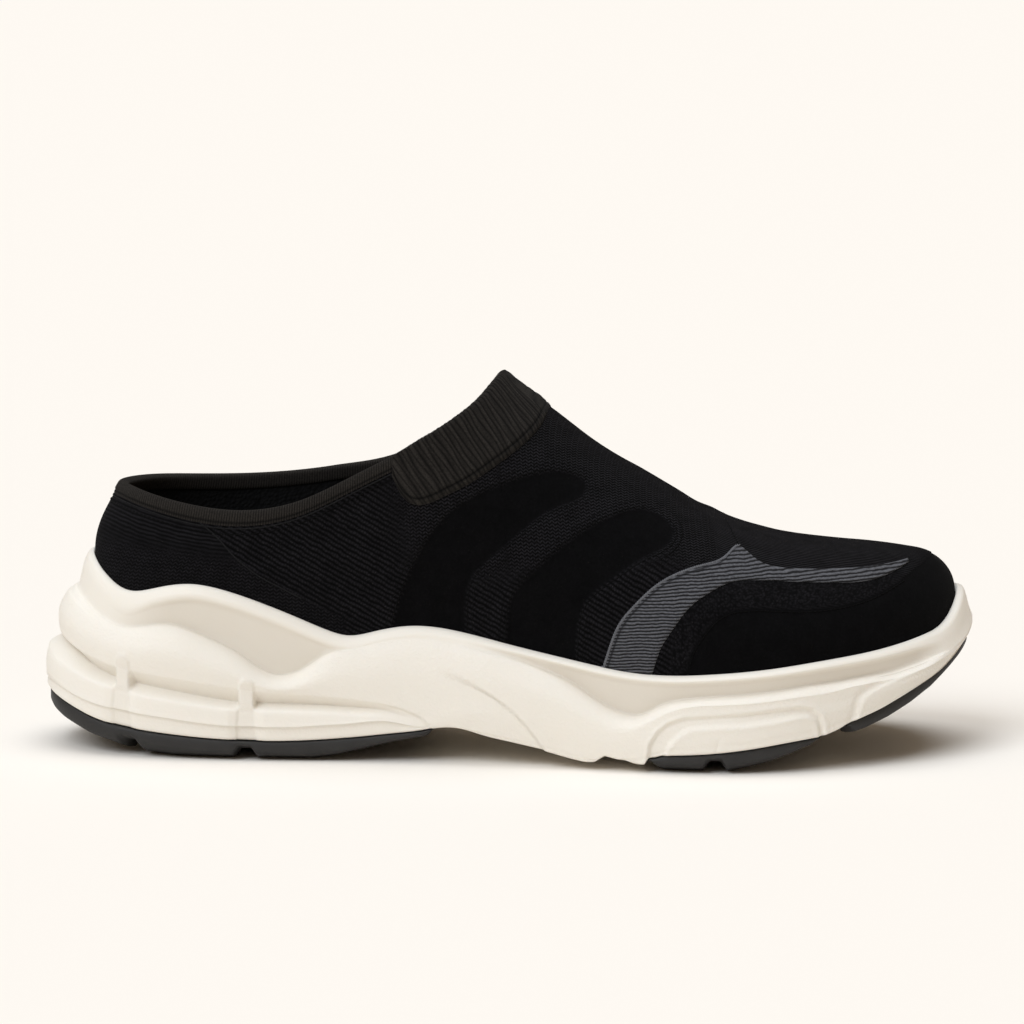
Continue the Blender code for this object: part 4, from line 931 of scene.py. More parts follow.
def midsole_profile(turns):
    """Inset and height of the midsole's lines, top to bottom, in metres."""
    x = side_view(turns, feather_height(turns))[0]
    feather = feather_share(turns)
    share = {name: curve(turns) for name, curve in side_share.items()}
    inset = {name: curve(turns) for name, curve in inset_share.items()}
    percent = 0.1 / SOLE_HEIGHT
    crest = feather - share["crest"] - table(x, CREST_LOWERED) * percent
    chamfer = np.minimum(share["chamfer"], crest - 2.6)
    lip = table(x, LIP_WIDTH) * percent
    top = feather + tip_rise(turns) * percent
    edge = share["edge"] + (table(x, EDGE_RAISED) + table(x, FOOT_NOTCHES)) * percent
    step = np.maximum(np.minimum(share["step"] + table(x, STEP_RAISED) * percent, crest - 7.4),
                      edge + 0.5)
    block = np.maximum(np.minimum(share["block"], crest - 6.0), step + 0.5)
    groove = np.maximum(np.minimum(share["groove"], crest - 4.3), block + 0.5)
    chamfer = np.maximum(chamfer, groove + 0.5)
    belly = (crest - SHOULDER_DROP + chamfer) / 2
    merge = table(x, CREST_MERGED)
    rim_in = inset["rim"] - 0.13 * smoothstep(132, 147, x)
    even = (feather - lip - crest) / np.maximum(feather - lip - belly, 1)
    crest_in = inset["crest"] * (1 - merge) + merge * (
        rim_in + (inset["belly"] - rim_in) * even)
    crest_in = crest_in + table(x, CREST_DEEPER)
    ledge_in = crest_in - 0.11 * (1 - merge) - 0.02
    upper_in = crest_in + (inset["belly"] - crest_in) * 0.62
    groove_in = inset["groove"] + 0.12 * smoothstep(-30, -45, x)
    edge_in = edge_inset(turns)
    rows = [(inset["feather"], top), (rim_in + 0.16, top - lip * 0.12),
            (rim_in + 0.06, (top + feather) / 2 - lip * 0.5), (rim_in - 0.02, feather - lip),
            (crest_in, crest), (ledge_in, crest - 0.8), (upper_in, crest + (belly - crest) * 0.35),
            (inset["belly"] - 0.03, belly), (inset["chamfer"], chamfer),
            (groove_in, groove), (inset["block"], block),
            (inset["step"], step), (edge_in, edge), (edge_in + 0.22, edge + 0.4)]
    return [np.stack([a * SCULPT, b * SOLE_HEIGHT / 100], -1) for a, b in rows]


def rounded_profile(lines, radii, between, corners):
    """Rows along a polyline with rounded corners, for all stations, and each line's row."""
    lines = np.asarray(lines)
    rows = [lines[0]]
    places = [0]
    last = lines[0]
    for i in range(1, len(lines) - 1):
        back = lines[i - 1] - lines[i]
        ahead = lines[i + 1] - lines[i]
        back_long = np.linalg.norm(back, axis=-1, keepdims=True) + 1e-9
        ahead_long = np.linalg.norm(ahead, axis=-1, keepdims=True) + 1e-9
        radius = np.broadcast_to(radii[i - 1], back.shape[:1])[:, None] * MM
        near = lines[i] + back * np.minimum(radius / back_long, 0.48)
        far = lines[i] + ahead * np.minimum(radius / ahead_long, 0.48)
        for k in range(1, between[i - 1] + 1):
            rows.append(last + (near - last) * k / between[i - 1])
        places.append(len(rows) - 1 + corners[i - 1] // 2)
        for k in range(1, corners[i - 1] + 1):
            s = k / corners[i - 1]
            rows.append(near * (1 - s) ** 2 + lines[i] * 2 * s * (1 - s) + far * s * s)
        last = far
    for k in range(1, between[-1] + 1):
        rows.append(last + (lines[-1] - last) * k / between[-1])
    places.append(len(rows) - 1)
    return np.stack(rows), places


def fold_depth(pairs, path, depth, fade, ends):
    """Hollow on the left of a path, deepest at the path and running out over fade mm."""
    path = fine_line(path, 4)
    away = line_distance(pairs, path)
    run = np.clip((pairs[:, 0] - path[0, 0]) / ends, 0, 1)
    left = np.where(away < 0, np.exp(-np.abs(away) / fade) * smoothstep(0, 0.7, -away), 0)
    return depth * left * run * run * (3 - 2 * run)


def profile_rows(turns):
    """Rows of the rounded profile, and by name its lines and the numbers of their rows."""
    lines = np.asarray(midsole_profile(turns))
    rounder = table(side_view(turns, feather_height(turns))[0], CREST_ROUND)
    names, radii, between, corners = zip(*PROFILE)
    radii = [radius + rounder if name in ("crest", "ledge") else radius
             for name, radius in zip(names, radii)]
    rows, places = rounded_profile(lines, radii, between + (FOOT_ROWS,), corners)
    names = ("top",) + names + ("foot",)
    return rows, dict(zip(names, lines)), dict(zip(names, places))


def sole_relief(x, z, below):
    """How much deeper the foam lies than its plain profile, in mm, for flat arrays."""
    pairs = np.stack([x, z], -1)
    outer = inside_distance(pairs, PLATE_OUTER)
    inner = inside_distance(pairs, PLATE_INNER)
    plate = smoothstep(0, 1.3, outer) - smoothstep(-1.5, 0.1, inner)
    depth = below * (0.95 * plate - 0.25 * np.exp(-((outer + 0.35) / 0.55) ** 2)
                     - 0.25 * np.exp(-((inner - 0.45) / 0.6) ** 2))
    crease = np.abs(line_distance(pairs, PLATE_CREASE))
    depth += 0.22 * np.exp(-(crease / 0.7) ** 2) * smoothstep(15, 9, z)
    toe = line_distance(pairs, fine_line(TOE_PLATE, 3))
    toe = np.where(x > 106, toe, 9)
    depth += below * smoothstep(146, 134, x) * (
        -0.55 * smoothstep(0.0, 1.1, -toe) + 0.35 * np.exp(-((toe - 0.9) / 1.0) ** 2))
    depth += fold_depth(pairs, FLANK_FOLD, 1.8, 4.5, 14) * below
    depth += fold_depth(pairs, BLOCK_END, 1.1, 3.0, 10) * below
    return depth


def foam_depth(x, drop, number, mark, panel):
    """Depth of panels, ledges and swells below the plain profile, in millimetres."""
    extra = panel.copy()
    # A fuller lip in front
    bulge = smoothstep(-20, 20, x) * smoothstep(144, 130, x)
    extra -= 0.35 * np.sin(math.pi * np.clip(drop / table(x, LIP_WIDTH), 0, 1)) * bulge
    # A fuller shoulder at the heel's back
    shoulder = smoothstep(mark["crest"], mark["shoulder"], number)
    extra -= 0.6 * smoothstep(-134, -148, x) * shoulder
    # A small undercut with a raised edge under the heel's blocks
    heel = smoothstep(-22, -34, x)
    extra += 0.6 * smoothstep(mark["step"], mark["step"] + 1.2, number) * heel
    extra -= 0.2 * np.exp(-((number - mark["step"] + 0.6) / 0.8) ** 2) * heel
    # A bead above the rubber, and the rounded back of the heel's block
    extra -= 0.3 * np.exp(-((number - mark["edge"] + 2.5) / 1.6) ** 2)
    face = np.clip((number - mark["block"]) / (mark["step"] - mark["block"]), 0, 1)
    return extra - 1.1 * np.sin(math.pi * face) * smoothstep(-138, -149, x)


def saddle_line(height, line, plain):
    """Inset of the saddles, which bridge the groove from the chamfer to the block."""
    z = height / MM
    (chamfer_in, chamfer_z), (block_in, block_z) = [
        (line[name] / MM).T for name in ("chamfer", "block")]
    slope = smoothstep(0, 1, (chamfer_z - z) / (chamfer_z - block_z))
    bridge = (chamfer_in - 0.7) * (1 - slope) + (block_in + 1.1) * slope
    bridge = np.where(z > chamfer_z, plain - 0.55, bridge)
    return np.where(z < block_z, plain + 1.1, bridge)


def make_midsole():
    """Foam cup: the profile's rows round the shoe, with panels, saddles, folds and plates."""
    turns = paired_turns(MIDSOLE_PAIRS, sole_detail)
    rows, line, mark = profile_rows(turns)
    inset, height = rows[..., 0], rows[..., 1]
    grid = np.broadcast_to(turns, inset.shape)
    number = np.broadcast_to(np.arange(len(rows))[:, None], inset.shape).astype(float)
    x, z = side_view(grid, height)
    drop = (feather_height(grid) - height) / MM
    edge = (drop - table(x, LIP_WIDTH)) / table(x, PANEL_SOFTNESS)
    panel = table(x, PANEL_DEPTH) * smoothstep(0, 1, edge)
    panel = panel * smoothstep(mark["ledge"], mark["crest"], number)
    extra = foam_depth(x, drop, number, mark, panel)
    below = smoothstep(mark["ledge"], mark["shoulder"], number)
    extra += sole_relief(x.ravel(), z.ravel(), below.ravel()).reshape(x.shape)
    plain = inset / MM + extra
    bridge = saddle_line(height, line, plain)
    below = smoothstep(mark["groove"], mark["block"], number)
    # Painted shade for the foam's colour: full in the hollow panels, and some in the heel's groove
    # and on the saddles
    painted_recess_shade = np.clip(panel / 1.0, 0, 1)
    painted_recess_shade += 0.6 * np.exp(-((number - mark["groove"]) / 2.2) ** 2) * smoothstep(-24, -40, x)
    # The saddles fill the groove with a raised upright face that is round at its top
    for centre, top in SADDLES:
        half = np.interp(z, [0, 12, top], [3.5, 3.0, 2.1])
        reach = np.hypot(x - centre, np.maximum(z - (top - 2.1), 0)) - half
        plain = plain + 0.5 * smoothstep(3.2, 0.4, reach) * below
        plain = plain + (bridge - plain) * smoothstep(0.7, -0.5, reach)
        # The saddles get a set share of the painted shade
        painted_recess_shade = painted_recess_shade + (0.3 - painted_recess_shade) * smoothstep(0.6, -0.4, reach)
    # Below the lip the foam stays outside its own inner wall
    deepest = feather_inset(grid) / MM + 1.6 * smoothstep(0, 10, drop) - 1.0
    plain = np.where(number > mark["rim_face"], np.minimum(plain, deepest), plain)
    points = side_point(grid, plain * MM, height)
    seat = side_point(turns, feather_inset(turns) + 0.0020, seat_height(turns))
    points = np.concatenate([seat[None], points], 0)
    count, total = points.shape[1], points.shape[0]
    faces = [face[::-1] for face in grid_faces(count, total, True)]
    cup_faces = cross_sheet(count, total, 0, points[0], 1, None, 0)[1]
    base = count * total
    under, under_faces = cross_sheet(count, total, total - 1, points[-1], 13, underside_hollow,
                                     base)
    faces += [face[::-1] for face in cup_faces] + under_faces
    vertices = np.concatenate([points.transpose(1, 0, 2).reshape(-1, 3), under])
    thing = mesh_piece("midsole_foam", vertices, faces, [foam])
    blocks = smoothstep(mark["block"] - 2, mark["block"], number) * smoothstep(-22, -30, x)
    satin = smoothstep(mark["crest"] - 1, mark["ledge"], number) * (1 - 0.6 * blocks)
    for name, share in (("satin", satin), ("painted_recess_shade", painted_recess_shade)):
        share = np.concatenate([share[:1], share], 0).T.ravel()
        set_value(thing, name, np.concatenate([share, np.ones(len(under))]))
    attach(thing, "root")
    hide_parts("midsole")


def cross_sheet(count, total, row, ring, across, lift, base):
    """Sheet between the two sides of a ring of paired stations, closed at heel and toe."""
    half = count // 2
    number = {}
    extra = []
    for i in range(1, half):
        lateral, medial = ring[i], ring[count - i]
        number[i, 0] = i * total + row
        number[i, across] = (count - i) * total + row
        for k in range(1, across):
            s = k / across
            point = lateral * (1 - s) + medial * s
            point[2] += lift(point[0], s)
            number[i, k] = base + len(extra)
            extra.append(point)
    faces = []
    for i in range(1, half - 1):
        for k in range(across):
            faces.append((number[i, k], number[i, k + 1], number[i + 1, k + 1], number[i + 1, k]))
    first, last = row, half * total + row
    for k in range(across):
        faces.append((first, number[1, k + 1], number[1, k]))
        faces.append((last, number[half - 1, k], number[half - 1, k + 1]))
    return np.array(extra).reshape(-1, 3), faces


def underside_hollow(x, share):
    """Moulded hollow under the arch and a shallow waist channel along the middle."""
    arch = math.exp(-((x + 0.005) / 0.034) ** 2) * 0.004
    channel = 0.0012 * math.exp(-((share - 0.5) / 0.10) ** 2)
    return (arch + channel) * math.sin(math.pi * share) ** 0.8


make_midsole()

# Rubber pads

NOTCHES = {"outsole_heel": (-120.8, -82.0), "outsole_forefoot": (68.6,), "outsole_toe": ()}
NOTCH_DEPTH = 0.0029
END_SLANT = 0.0035  # how far a pad's low edge rises at its free ends
LUG_PITCH = 7.0
LUG_DEPTH = 0.0011
PAD_PAIRS = 560
PAD_ACROSS = 22
PAD_FOOT = (  # x, height of the wall's foot above the tread
    (-150, 3.8), (-127, 5.0), (-118, 4.2), (-105, 3.0), (-92, 2.5), (-60, 2.2), (-22, 1.2),
    (40, 2.8), (100, 2.4), (106, 1.6), (150, 1.6))
PAD_WALL = (  # metres inwards, share of the wall's height or of its foot's, from the top down
    (0.0020, 1.0, 0), (0.0009, 1.0, 0), (0.0006, 0.96, 0), (0.0004, 0.86, 0), (0.0004, 0.25, 0),
    (0.0006, 0.08, 0), (0.0009, 0, 0.95), (0.0015, 0, 0.78), (0.0025, 0, 0.55),
    (0.0038, 0, 0.32), (0.0052, 0, 0.12), (0.0070, 0, 0.0))


def pad_stations(name, rows):
    """Turns and x along a pad, its low edge and height there, and 0 to 1 from its free ends."""
    start, end = float(turn_at(rows[0][0])), float(turn_at(rows[-1][0]))
    notches = NOTCHES[name]
    full = paired_turns(
        PAD_PAIRS, lambda x: 1 + (1.2 * near_any(x, notches, 5) if notches else 0 * x))
    side = full[(full > start) & (full < end) & (full < math.pi)]
    side = np.concatenate([[start], side, [end]])
    x = (along_at(side) - 0.5) * LENGTH / MM
    top = side_share["edge"](side) * SOLE_HEIGHT / 100 - CLEARANCE
    top = top + (table(x, FOOT_NOTCHES) + table(x, EDGE_RAISED)) * MM
    low = table(along_at(side), rows) * SOLE_HEIGHT / 100
    notch = 0 * x
    for centre in notches:
        notch = np.maximum(notch, smoothstep(4.2, 1.3, np.abs(x - centre)))
    low = low + np.minimum(NOTCH_DEPTH, (top - low) * 0.66) * notch
    ends = 1 + 0 * x
    if rows[0][0] != 0:
        ends = smoothstep(0, 3.0, x - x[0])
    if rows[-1][0] != 1:
        ends = ends * smoothstep(0, 3.0, x[-1] - x)
    low = low + (1 - ends) * np.minimum((top - low) * 0.75, END_SLANT)
    return side, x, low, top - low, ends


def make_pad(name, rows):
    """One rubber pad: rounded wall, slanted cross notches and a tread of chevron lugs."""
    side, x, low, tall, ends = pad_stations(name, rows)
    foot = np.minimum(table(x, PAD_FOOT) * MM, tall * 0.58)
    under = 1.3 + 0.9 * smoothstep(-104, -130, x)
    rings = []
    for inset, wall, share in PAD_WALL:
        height = low + (foot + (tall - foot) * wall if wall else foot * share)
        rings.append([side_point(turn, edge_inset(turn) * SCULPT + inset * under, height)
                      for turn in (side, TAU - side)])
    s = np.linspace(0, 1, PAD_ACROSS + 1)[None, :, None]
    lid, tread = [lateral[:, None, :] * (1 - s) + medial[:, None, :] * s
                  for lateral, medial in (rings[0], rings[-1])]
    s = s[..., 0]
    lug = np.mod(tread[..., 0] / MM + 3.0 * np.abs(s * 2 - 1), LUG_PITCH) - LUG_PITCH / 2
    groove = smoothstep(1.3, 0.5, np.abs(lug)) * LUG_DEPTH
    groove = groove + smoothstep(0.09, 0.05, np.abs(s - 0.5)) * LUG_DEPTH
    middle = np.sin(math.pi * s) ** 0.5
    tread[..., 2] += np.minimum(groove, tall[:, None] * 0.5) * middle * ends[:, None]
    loops = [np.concatenate([lateral, medial[::-1]]) for lateral, medial in rings]
    vertices = np.concatenate(loops + [lid.reshape(-1, 3), tread.reshape(-1, 3)])
    count, walls = len(side), len(loops) * len(loops[0])
    faces = tube_faces(len(loops), len(loops[0]))
    faces += grid_faces(count, PAD_ACROSS + 1, False, walls)
    faces += [face[::-1] for face in
              grid_faces(count, PAD_ACROSS + 1, False, walls + count * (PAD_ACROSS + 1))]
    thing = mesh_piece(name.replace("outsole", "rubber_pad"), vertices, faces, [rubber])
    face_out(thing, merge=2e-6)
    thing.data.shade_smooth()
    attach(thing, "root")
    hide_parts(name)


make_pad("outsole_heel", HEEL_TREAD[:-1] + ((0.427, 13.2),))
make_pad("outsole_forefoot", BALL_TREAD[:-1] + ((0.840, 13.0),))
make_pad("outsole_toe", ((0.869, 15.5),) + TOE_TREAD[2:])

# Upper

UPPER_COLUMNS = 690
UPPER_ROWS = 98
INNER_ROWS = 26

# Zones of the cloth in side view, x and z in millimetres, the same on both sides
WINDOW_BACK = (
    (-11.5, 36), (-11.3, 45), (-10.9, 53.8), (-9.3, 59.3), (-3.9, 64.8), (3.1, 71.0),
    (10.6, 77.1), (18.0, 81.4), (25.8, 84.9), (27.0, 87.6), (23.9, 90.4), (16.2, 92.4),
    (7.0, 91.0), (-2.0, 88.1), (-9.5, 84.8), (-18.6, 78.0), (-24.7, 69.8), (-29.5, 59.8),
    (-32.2, 52.7), (-34.4, 44.9), (-36.5, 36))
WINDOW_FRONT = (
    (23.5, 28), (24.2, 38), (25.1, 46.7), (26.8, 51.9), (31.0, 56.5), (38.5, 61.8),
    (46.3, 66.6), (53.2, 70.0), (54.9, 72.6), (52.2, 76.8), (44.1, 80.4), (35.1, 78.9),
    (26.8, 74.9), (15.6, 66.7), (7.7, 59.1), (3.6, 53.6), (2.4, 47.2), (1.6, 38), (0.8, 28))
QUARTER_SEAM = (
    (-97.0, 75.2), (-92.6, 71.9), (-89.6, 69.1), (-86.3, 65.5), (-82.1, 61.9), (-77.3, 58.5),
    (-72.5, 56.0), (-64.5, 51.9))
TOE_SEAM = ((67.5, 76.4), (69.6, 75.0), (72.2, 72.4), (74.0, 69.8), (75.0, 68.6))
CAP_SEAM = (
    (59.4, 33.0), (60.1, 36.6), (61.2, 39.2), (64.9, 44.8), (68.2, 48.3), (72.2, 50.6),
    (77.5, 51.5), (84.5, 51.5), (95.1, 50.9), (107.7, 51.5), (118.8, 54.0), (127.0, 57.6))
CREASES = (  # path, depth in mm, half width in mm: soft troughs and the swells beside them
    (((-31, 79), (-35, 72), (-37, 64)), 0.45, 4.0),
    (((-38, 86), (-48, 78), (-56, 71)), 0.30, 4.5),
    (((60, 79), (57, 73), (56, 67)), 0.30, 4.0),
    (((66, 78), (64, 70), (66, 63)), -0.22, 3.0),
    (((-112, 66), (-100, 61), (-88, 59)), 0.25, 5.0),
    (((-118, 74), (-104, 68), (-98, 60)), -0.20, 4.0),
    (((88, 70), (96, 66), (108, 63)), 0.22, 5.0),
    (((46, 94), (57, 87), (66, 82)), -0.6, 6.0))


def upper_turns():
    """Turns of the upper's columns, closer together where the surface folds at the peak."""
    turns = arc_turns(UPPER_COLUMNS, 0.007)
    fan = (np.arange(22) / 22) ** 2 * 0.075
    marks = np.concatenate([APEX - fan, APEX + 0.004 * np.arange(1, 12), [math.pi]])
    marks = np.concatenate([marks, TAU - marks])
    kept = turns[np.min(np.abs(turns[:, None] - marks[None, :]), axis=1) > 0.003]
    return np.unique(np.round(np.concatenate([kept, marks]), 7))


def cloth_lengths(points):
    """Distance run round the shoe and up it, in millimetres, for a grid (columns, rows, 3)."""
    step = np.linalg.norm(np.diff(points, axis=0), axis=2)
    middle = points.shape[1] // 3
    round_by = np.concatenate([[0], np.cumsum(step[:, middle])])
    up_by = np.concatenate([np.zeros((len(points), 1)),
                            np.cumsum(np.linalg.norm(np.diff(points, axis=1), axis=2), 1)], 1)
    return np.broadcast_to(round_by[:, None], up_by.shape) / MM, up_by / MM


def band_share(turn, width):
    """Step of v at the rim that is worth a width of cloth."""
    one = np.ones(np.shape(turn))
    step = 0.02
    return step * width / np.linalg.norm(upper_point(turn, one)
                                         - upper_point(turn, one * (1 - step)), axis=-1)


def far_drop(turn):
    """The inner side's rim lies a little lower where it runs into the cuff."""
    near, medial = folded(turn)
    share = near / APEX
    return medial * 0.0026 * smoothstep(0.72, 0.86, share) * smoothstep(1.0, 0.92, share)


def rim_share(turn, below=0.0):
    """v at a distance below the rim."""
    return 1 - band_share(turn, 1.0) * (far_drop(turn) + below)


def window_distance(pairs):
    """Millimetres inside the nearer of the two smooth windows, below zero outside them."""
    return np.maximum(inside_distance(pairs, fine_line(WINDOW_BACK, 3)),
                      inside_distance(pairs, fine_line(WINDOW_FRONT, 3)))


def cloth_relief(pairs):
    """How far the cloth stands out, in millimetres, at places in side view."""
    window = window_distance(pairs)
    lift = -0.55 * smoothstep(-0.8, 1.2, window) + 0.22 * np.exp(-((window + 2.4) / 1.3) ** 2)
    for path, depth, half in CREASES:
        path = fine_line(path, 4)
        away = line_distance(pairs, path)
        lift = lift - depth * np.exp(-(away / half) ** 2)
    cap = line_distance(pairs, fine_line(CAP_SEAM, 3))
    cap = np.where(pairs[:, 0] > 55, cap, 9)
    return lift - 0.3 * smoothstep(1.2, -1.0, cap) * (pairs[:, 0] > 55)


def make_upper():
    """Hollow knit wall: outer face with its relief, then the lining back down inside it."""
    turns = upper_turns()
    near = folded(turns)[0]
    top = rim_share(turns, np.where(near < CUFF_START * APEX, 0.6 * BAND, 0.0))
    v = np.linspace(0, 1, UPPER_ROWS)[None, :] * top[:, None]
    grid = np.broadcast_to(turns[:, None], v.shape)
    outer = upper_point(grid, v)
    pairs = outer[..., (0, 2)].reshape(-1, 2) / MM
    fade = smoothstep(0, 0.05, v) * smoothstep(1.0, 0.97, v / top[:, None])
    lift = cloth_relief(pairs).reshape(v.shape) * fade * MM
    outer = outer + upper_normal(grid, v) * lift[..., None]
    inner_v = np.linspace(1, 0, INNER_ROWS)[None, :] * top[:, None]
    inner_grid = np.broadcast_to(turns[:, None], inner_v.shape)
    inner = upper_point(inner_grid, inner_v) - upper_normal(inner_grid, inner_v) * WALL
    inner[..., 2] = np.maximum(inner[..., 2], seat_height(inner_grid) + CLEARANCE)
    foot = side_point(turns, feather_inset(turns) + 0.0021, seat_height(turns) + CLEARANCE)
    low = inner[:, -1:].copy()
    low[:, 0, 2] = foot[:, 2]
    points = np.concatenate([foot[:, None], outer, inner, low], 1)
    count, rows = points.shape[:2]
    faces = tube_faces(count, rows, closed=True)
    slots = np.tile(np.arange(rows) > UPPER_ROWS + 1, count)  # 1 on the inner face: the lining
    thing = mesh_piece("knit_upper", points.reshape(-1, 3), faces, [knit, lining], slots)
    u, w = cloth_lengths(points)
    set_uv(thing, u.ravel(), w.ravel(), rows, u[-1, 0] + 1.2)
    set_value(thing, "from_top", np.abs(w[:, UPPER_ROWS:UPPER_ROWS + 1] - w))
    mark_zones(thing, points.reshape(-1, 3)[:, (0, 2)] / MM)
    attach(thing, "root")
    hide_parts("upper")
    return thing


def mark_zones(thing, pairs):
    """Shares of each stitch over the cloth, for the knit's material."""
    x, z = pairs[:, 0], pairs[:, 1]
    window = smoothstep(-0.4, 0.6, window_distance(pairs))
    cap = np.where(x > 55, line_distance(pairs, fine_line(CAP_SEAM, 3)), 30)
    toe_cap = smoothstep(0.8, -0.8, cap)
    wide = 12 - 4.3 * smoothstep(70, 85, x) - 2.2 * smoothstep(104, 124, x)
    band = smoothstep(0.6, -0.6, cap - wide) * (1 - toe_cap) * smoothstep(132, 122, x)
    heel = line_distance(pairs, fine_line(((-99, 84),) + QUARTER_SEAM + ((-50, 46),), 3))
    heel = smoothstep(0.5, -0.5, heel) * (x < -50)
    quarter = smoothstep(-20, -36, x + (z - 60) * 0.25) * (1 - heel)
    low_bands = smoothstep(66, 54, z - x * 0.12) * smoothstep(62, 50, x) * (1 - heel)
    open_cloth = (1 - window) * (1 - toe_cap) * (1 - band)
    top_rows = smoothstep(66.5, 69.5, x + (z - 70) * 0.4) * smoothstep(138, 122, x)
    front = smoothstep(122, 138, x)
    ribs = np.clip(quarter + low_bands, 0, 1) * open_cloth * (1 - top_rows)
    hoops = heel * smoothstep(64, 76, z + (x + 130) * 0.1)
    rows = top_rows * open_cloth
    pique = np.clip(open_cloth * (1 - 0.45 * heel) - ribs - rows - hoops, 0, 1) * (1 - front)
    coarse = np.clip(band + 0.3 * heel * (1 - hoops), 0, 1)
    for name, share in (("ribs", 0.75 * ribs), ("rows", 0.8 * rows), ("hoops", 0.45 * hoops),
                        ("pique", pique), ("coarse", coarse)):
        set_value(thing, name, share)


make_upper()


def sleeve(points, name, material, nodes):
    """Closed strip from a grid whose rows run once round its section; capped at both ends."""
    count, rows = points.shape[:2]
    faces = tube_faces(count, rows)
    faces.append(tuple(range(rows)))
    faces.append(tuple((count - 1) * rows + j for j in reversed(range(rows))))
    thing = mesh_piece(name, points.reshape(-1, 3), faces, [material])
    face_out(thing)
    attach(thing, "root")
    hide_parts(*nodes)
    return thing


def rib_crown(run, pitch, sharp=0.55):
    """1 on the crown of each rib and 0 in the narrow groove between two."""
    return np.abs(np.sin(math.pi * run / pitch)) ** sharp


BINDING_PITCH = 0.85  # from rib to rib, a little coarser than real ones, so that they show
BINDING_LIFT = 0.0007
CUFF_PITCH = 1.45
CUFF_WELT = 2.2  # height of the welt above the cuff's foot
CUFF_ACROSS = (0.80, 0.60)  # the direction across the cuff's ribs, in side view
CUFF_COLUMNS = 400
CUFF_ROWS = 44


def make_binding():
    """Rolled band of ribbed elastic round the back of the collar."""
    end = CUFF_START * APEX + 0.035
    fine = np.linspace(-end, end, 4001)
    rim = upper_point(fine, rim_share(fine))
    run = np.concatenate([[0], np.cumsum(np.linalg.norm(np.diff(rim, axis=0), axis=1))])
    count = int(run[-1] / (0.17 * MM))
    places = np.linspace(0, run[-1], count)  # 0.17 mm apart, five to a rib
    turns = np.interp(places, run, fine)
    across = np.linspace(0, TAU, 27)[:-1]
    down = BAND * 0.5 * (1 - np.sign(np.cos(across)) * np.abs(np.cos(across)) ** 0.55)
    half = WALL / 2 + BINDING_LIFT
    thick = np.sign(np.sin(across)) * np.abs(np.sin(across)) ** 0.5 * half
    share = band_share(turns, 1.0)
    v = rim_share(turns)[:, None] - share[:, None] * down[None, :]
    grid = np.broadcast_to(turns[:, None], v.shape)
    crown = rib_crown(places, BINDING_PITCH * MM)[:, None] * np.ones(v.shape)
    welt = np.exp(-((down - BAND * 0.80) / (0.35 * MM)) ** 2) * (thick > 0)
    lift = thick[None, :] * (0.90 + 0.12 * crown) - 0.0004 * welt[None, :] - WALL / 2
    points = upper_point(grid, v) + upper_normal(grid, v) * lift[..., None]
    band = sleeve(points, "collar_band", ribbed, ["collar_binding"])
    # Painted highlight on the ribs' crowns; the welt's sunken groove gets none and stays dark as
    # painted shade
    set_value(band, "crown", crown * (1 - 0.8 * welt[None, :]))


make_binding()


def cuff_grid(columns, rows):
    """Turn and v over the cuff: columns round the instep, rows from the rim down."""
    shares, alongs, rises = columns_of(CUFF, 0, 1, 2)
    edge_along = spline(shares, alongs)
    edge_rise = spline(shares, rises)
    i = np.linspace(0, 1, columns)
    share = CUFF_START + (1 - CUFF_START) * (1 - (1 - i) ** 2)
    turn = turn_at(edge_along(share))
    low = share_at(turn, SOLE_HEIGHT + edge_rise(share) * (COLLAR_RISE + CUFF_RISE))
    low = low * cut_share(turn)
    low[-1] = 1.0
    rim = share * APEX
    high = cut_share(rim)
    s = np.linspace(0, 1, rows)[None, :]
    turns = rim[:, None] * (1 - s) + turn[:, None] * s
    on_rib = high[:, None] * (1 - s) + low[:, None] * s
    v = np.minimum(on_rib / cut_share(turns), 1)
    turns = np.concatenate([turns, TAU - turns[-2::-1]], 0)
    v = np.concatenate([v, v[-2::-1]], 0)
    return turns, v - (1 - rim_share(turns[:, 0]))[:, None] * (1 - s)


def cuff_run(base):
    """Distance across the ribs, which stand square to the rim, in millimetres."""
    middle = len(base) // 2
    sides = []
    for part in (base[:middle + 1], base[:middle - 1:-1]):
        flat = part[..., 0] * CUFF_ACROSS[0] + part[..., 2] * CUFF_ACROSS[1]
        across = np.linspace(0, 1, len(part))[1:, None]
        step = np.abs(np.diff(flat, axis=0))
        more = np.hypot(step, np.diff(part[..., 1], axis=0)) - step
        extra = np.cumsum(more * smoothstep(0.5, 0.85, across), axis=0)
        sides.append(flat + np.concatenate([0 * extra[:1], extra]))
    outer, inner = sides
    inner = outer[-1] + inner[-1] - inner
    return np.concatenate([outer, inner[-2::-1]]) / MM


def cuff_crown(run, s):
    """1 on the crown of each rib and 0 between two, with the waver of real knitting."""
    run = run + 0.20 * np.sin(run * 0.9 + 4 * s) + 0.14 * np.sin(run * 2.3 - 6 * s)
    run = run + 0.10 * np.sin(run * 0.31 + 9 * s)
    return rib_crown(run, CUFF_PITCH, 0.6) * (0.80 + 0.20 * np.sin(run * 1.9 + 5 * s))


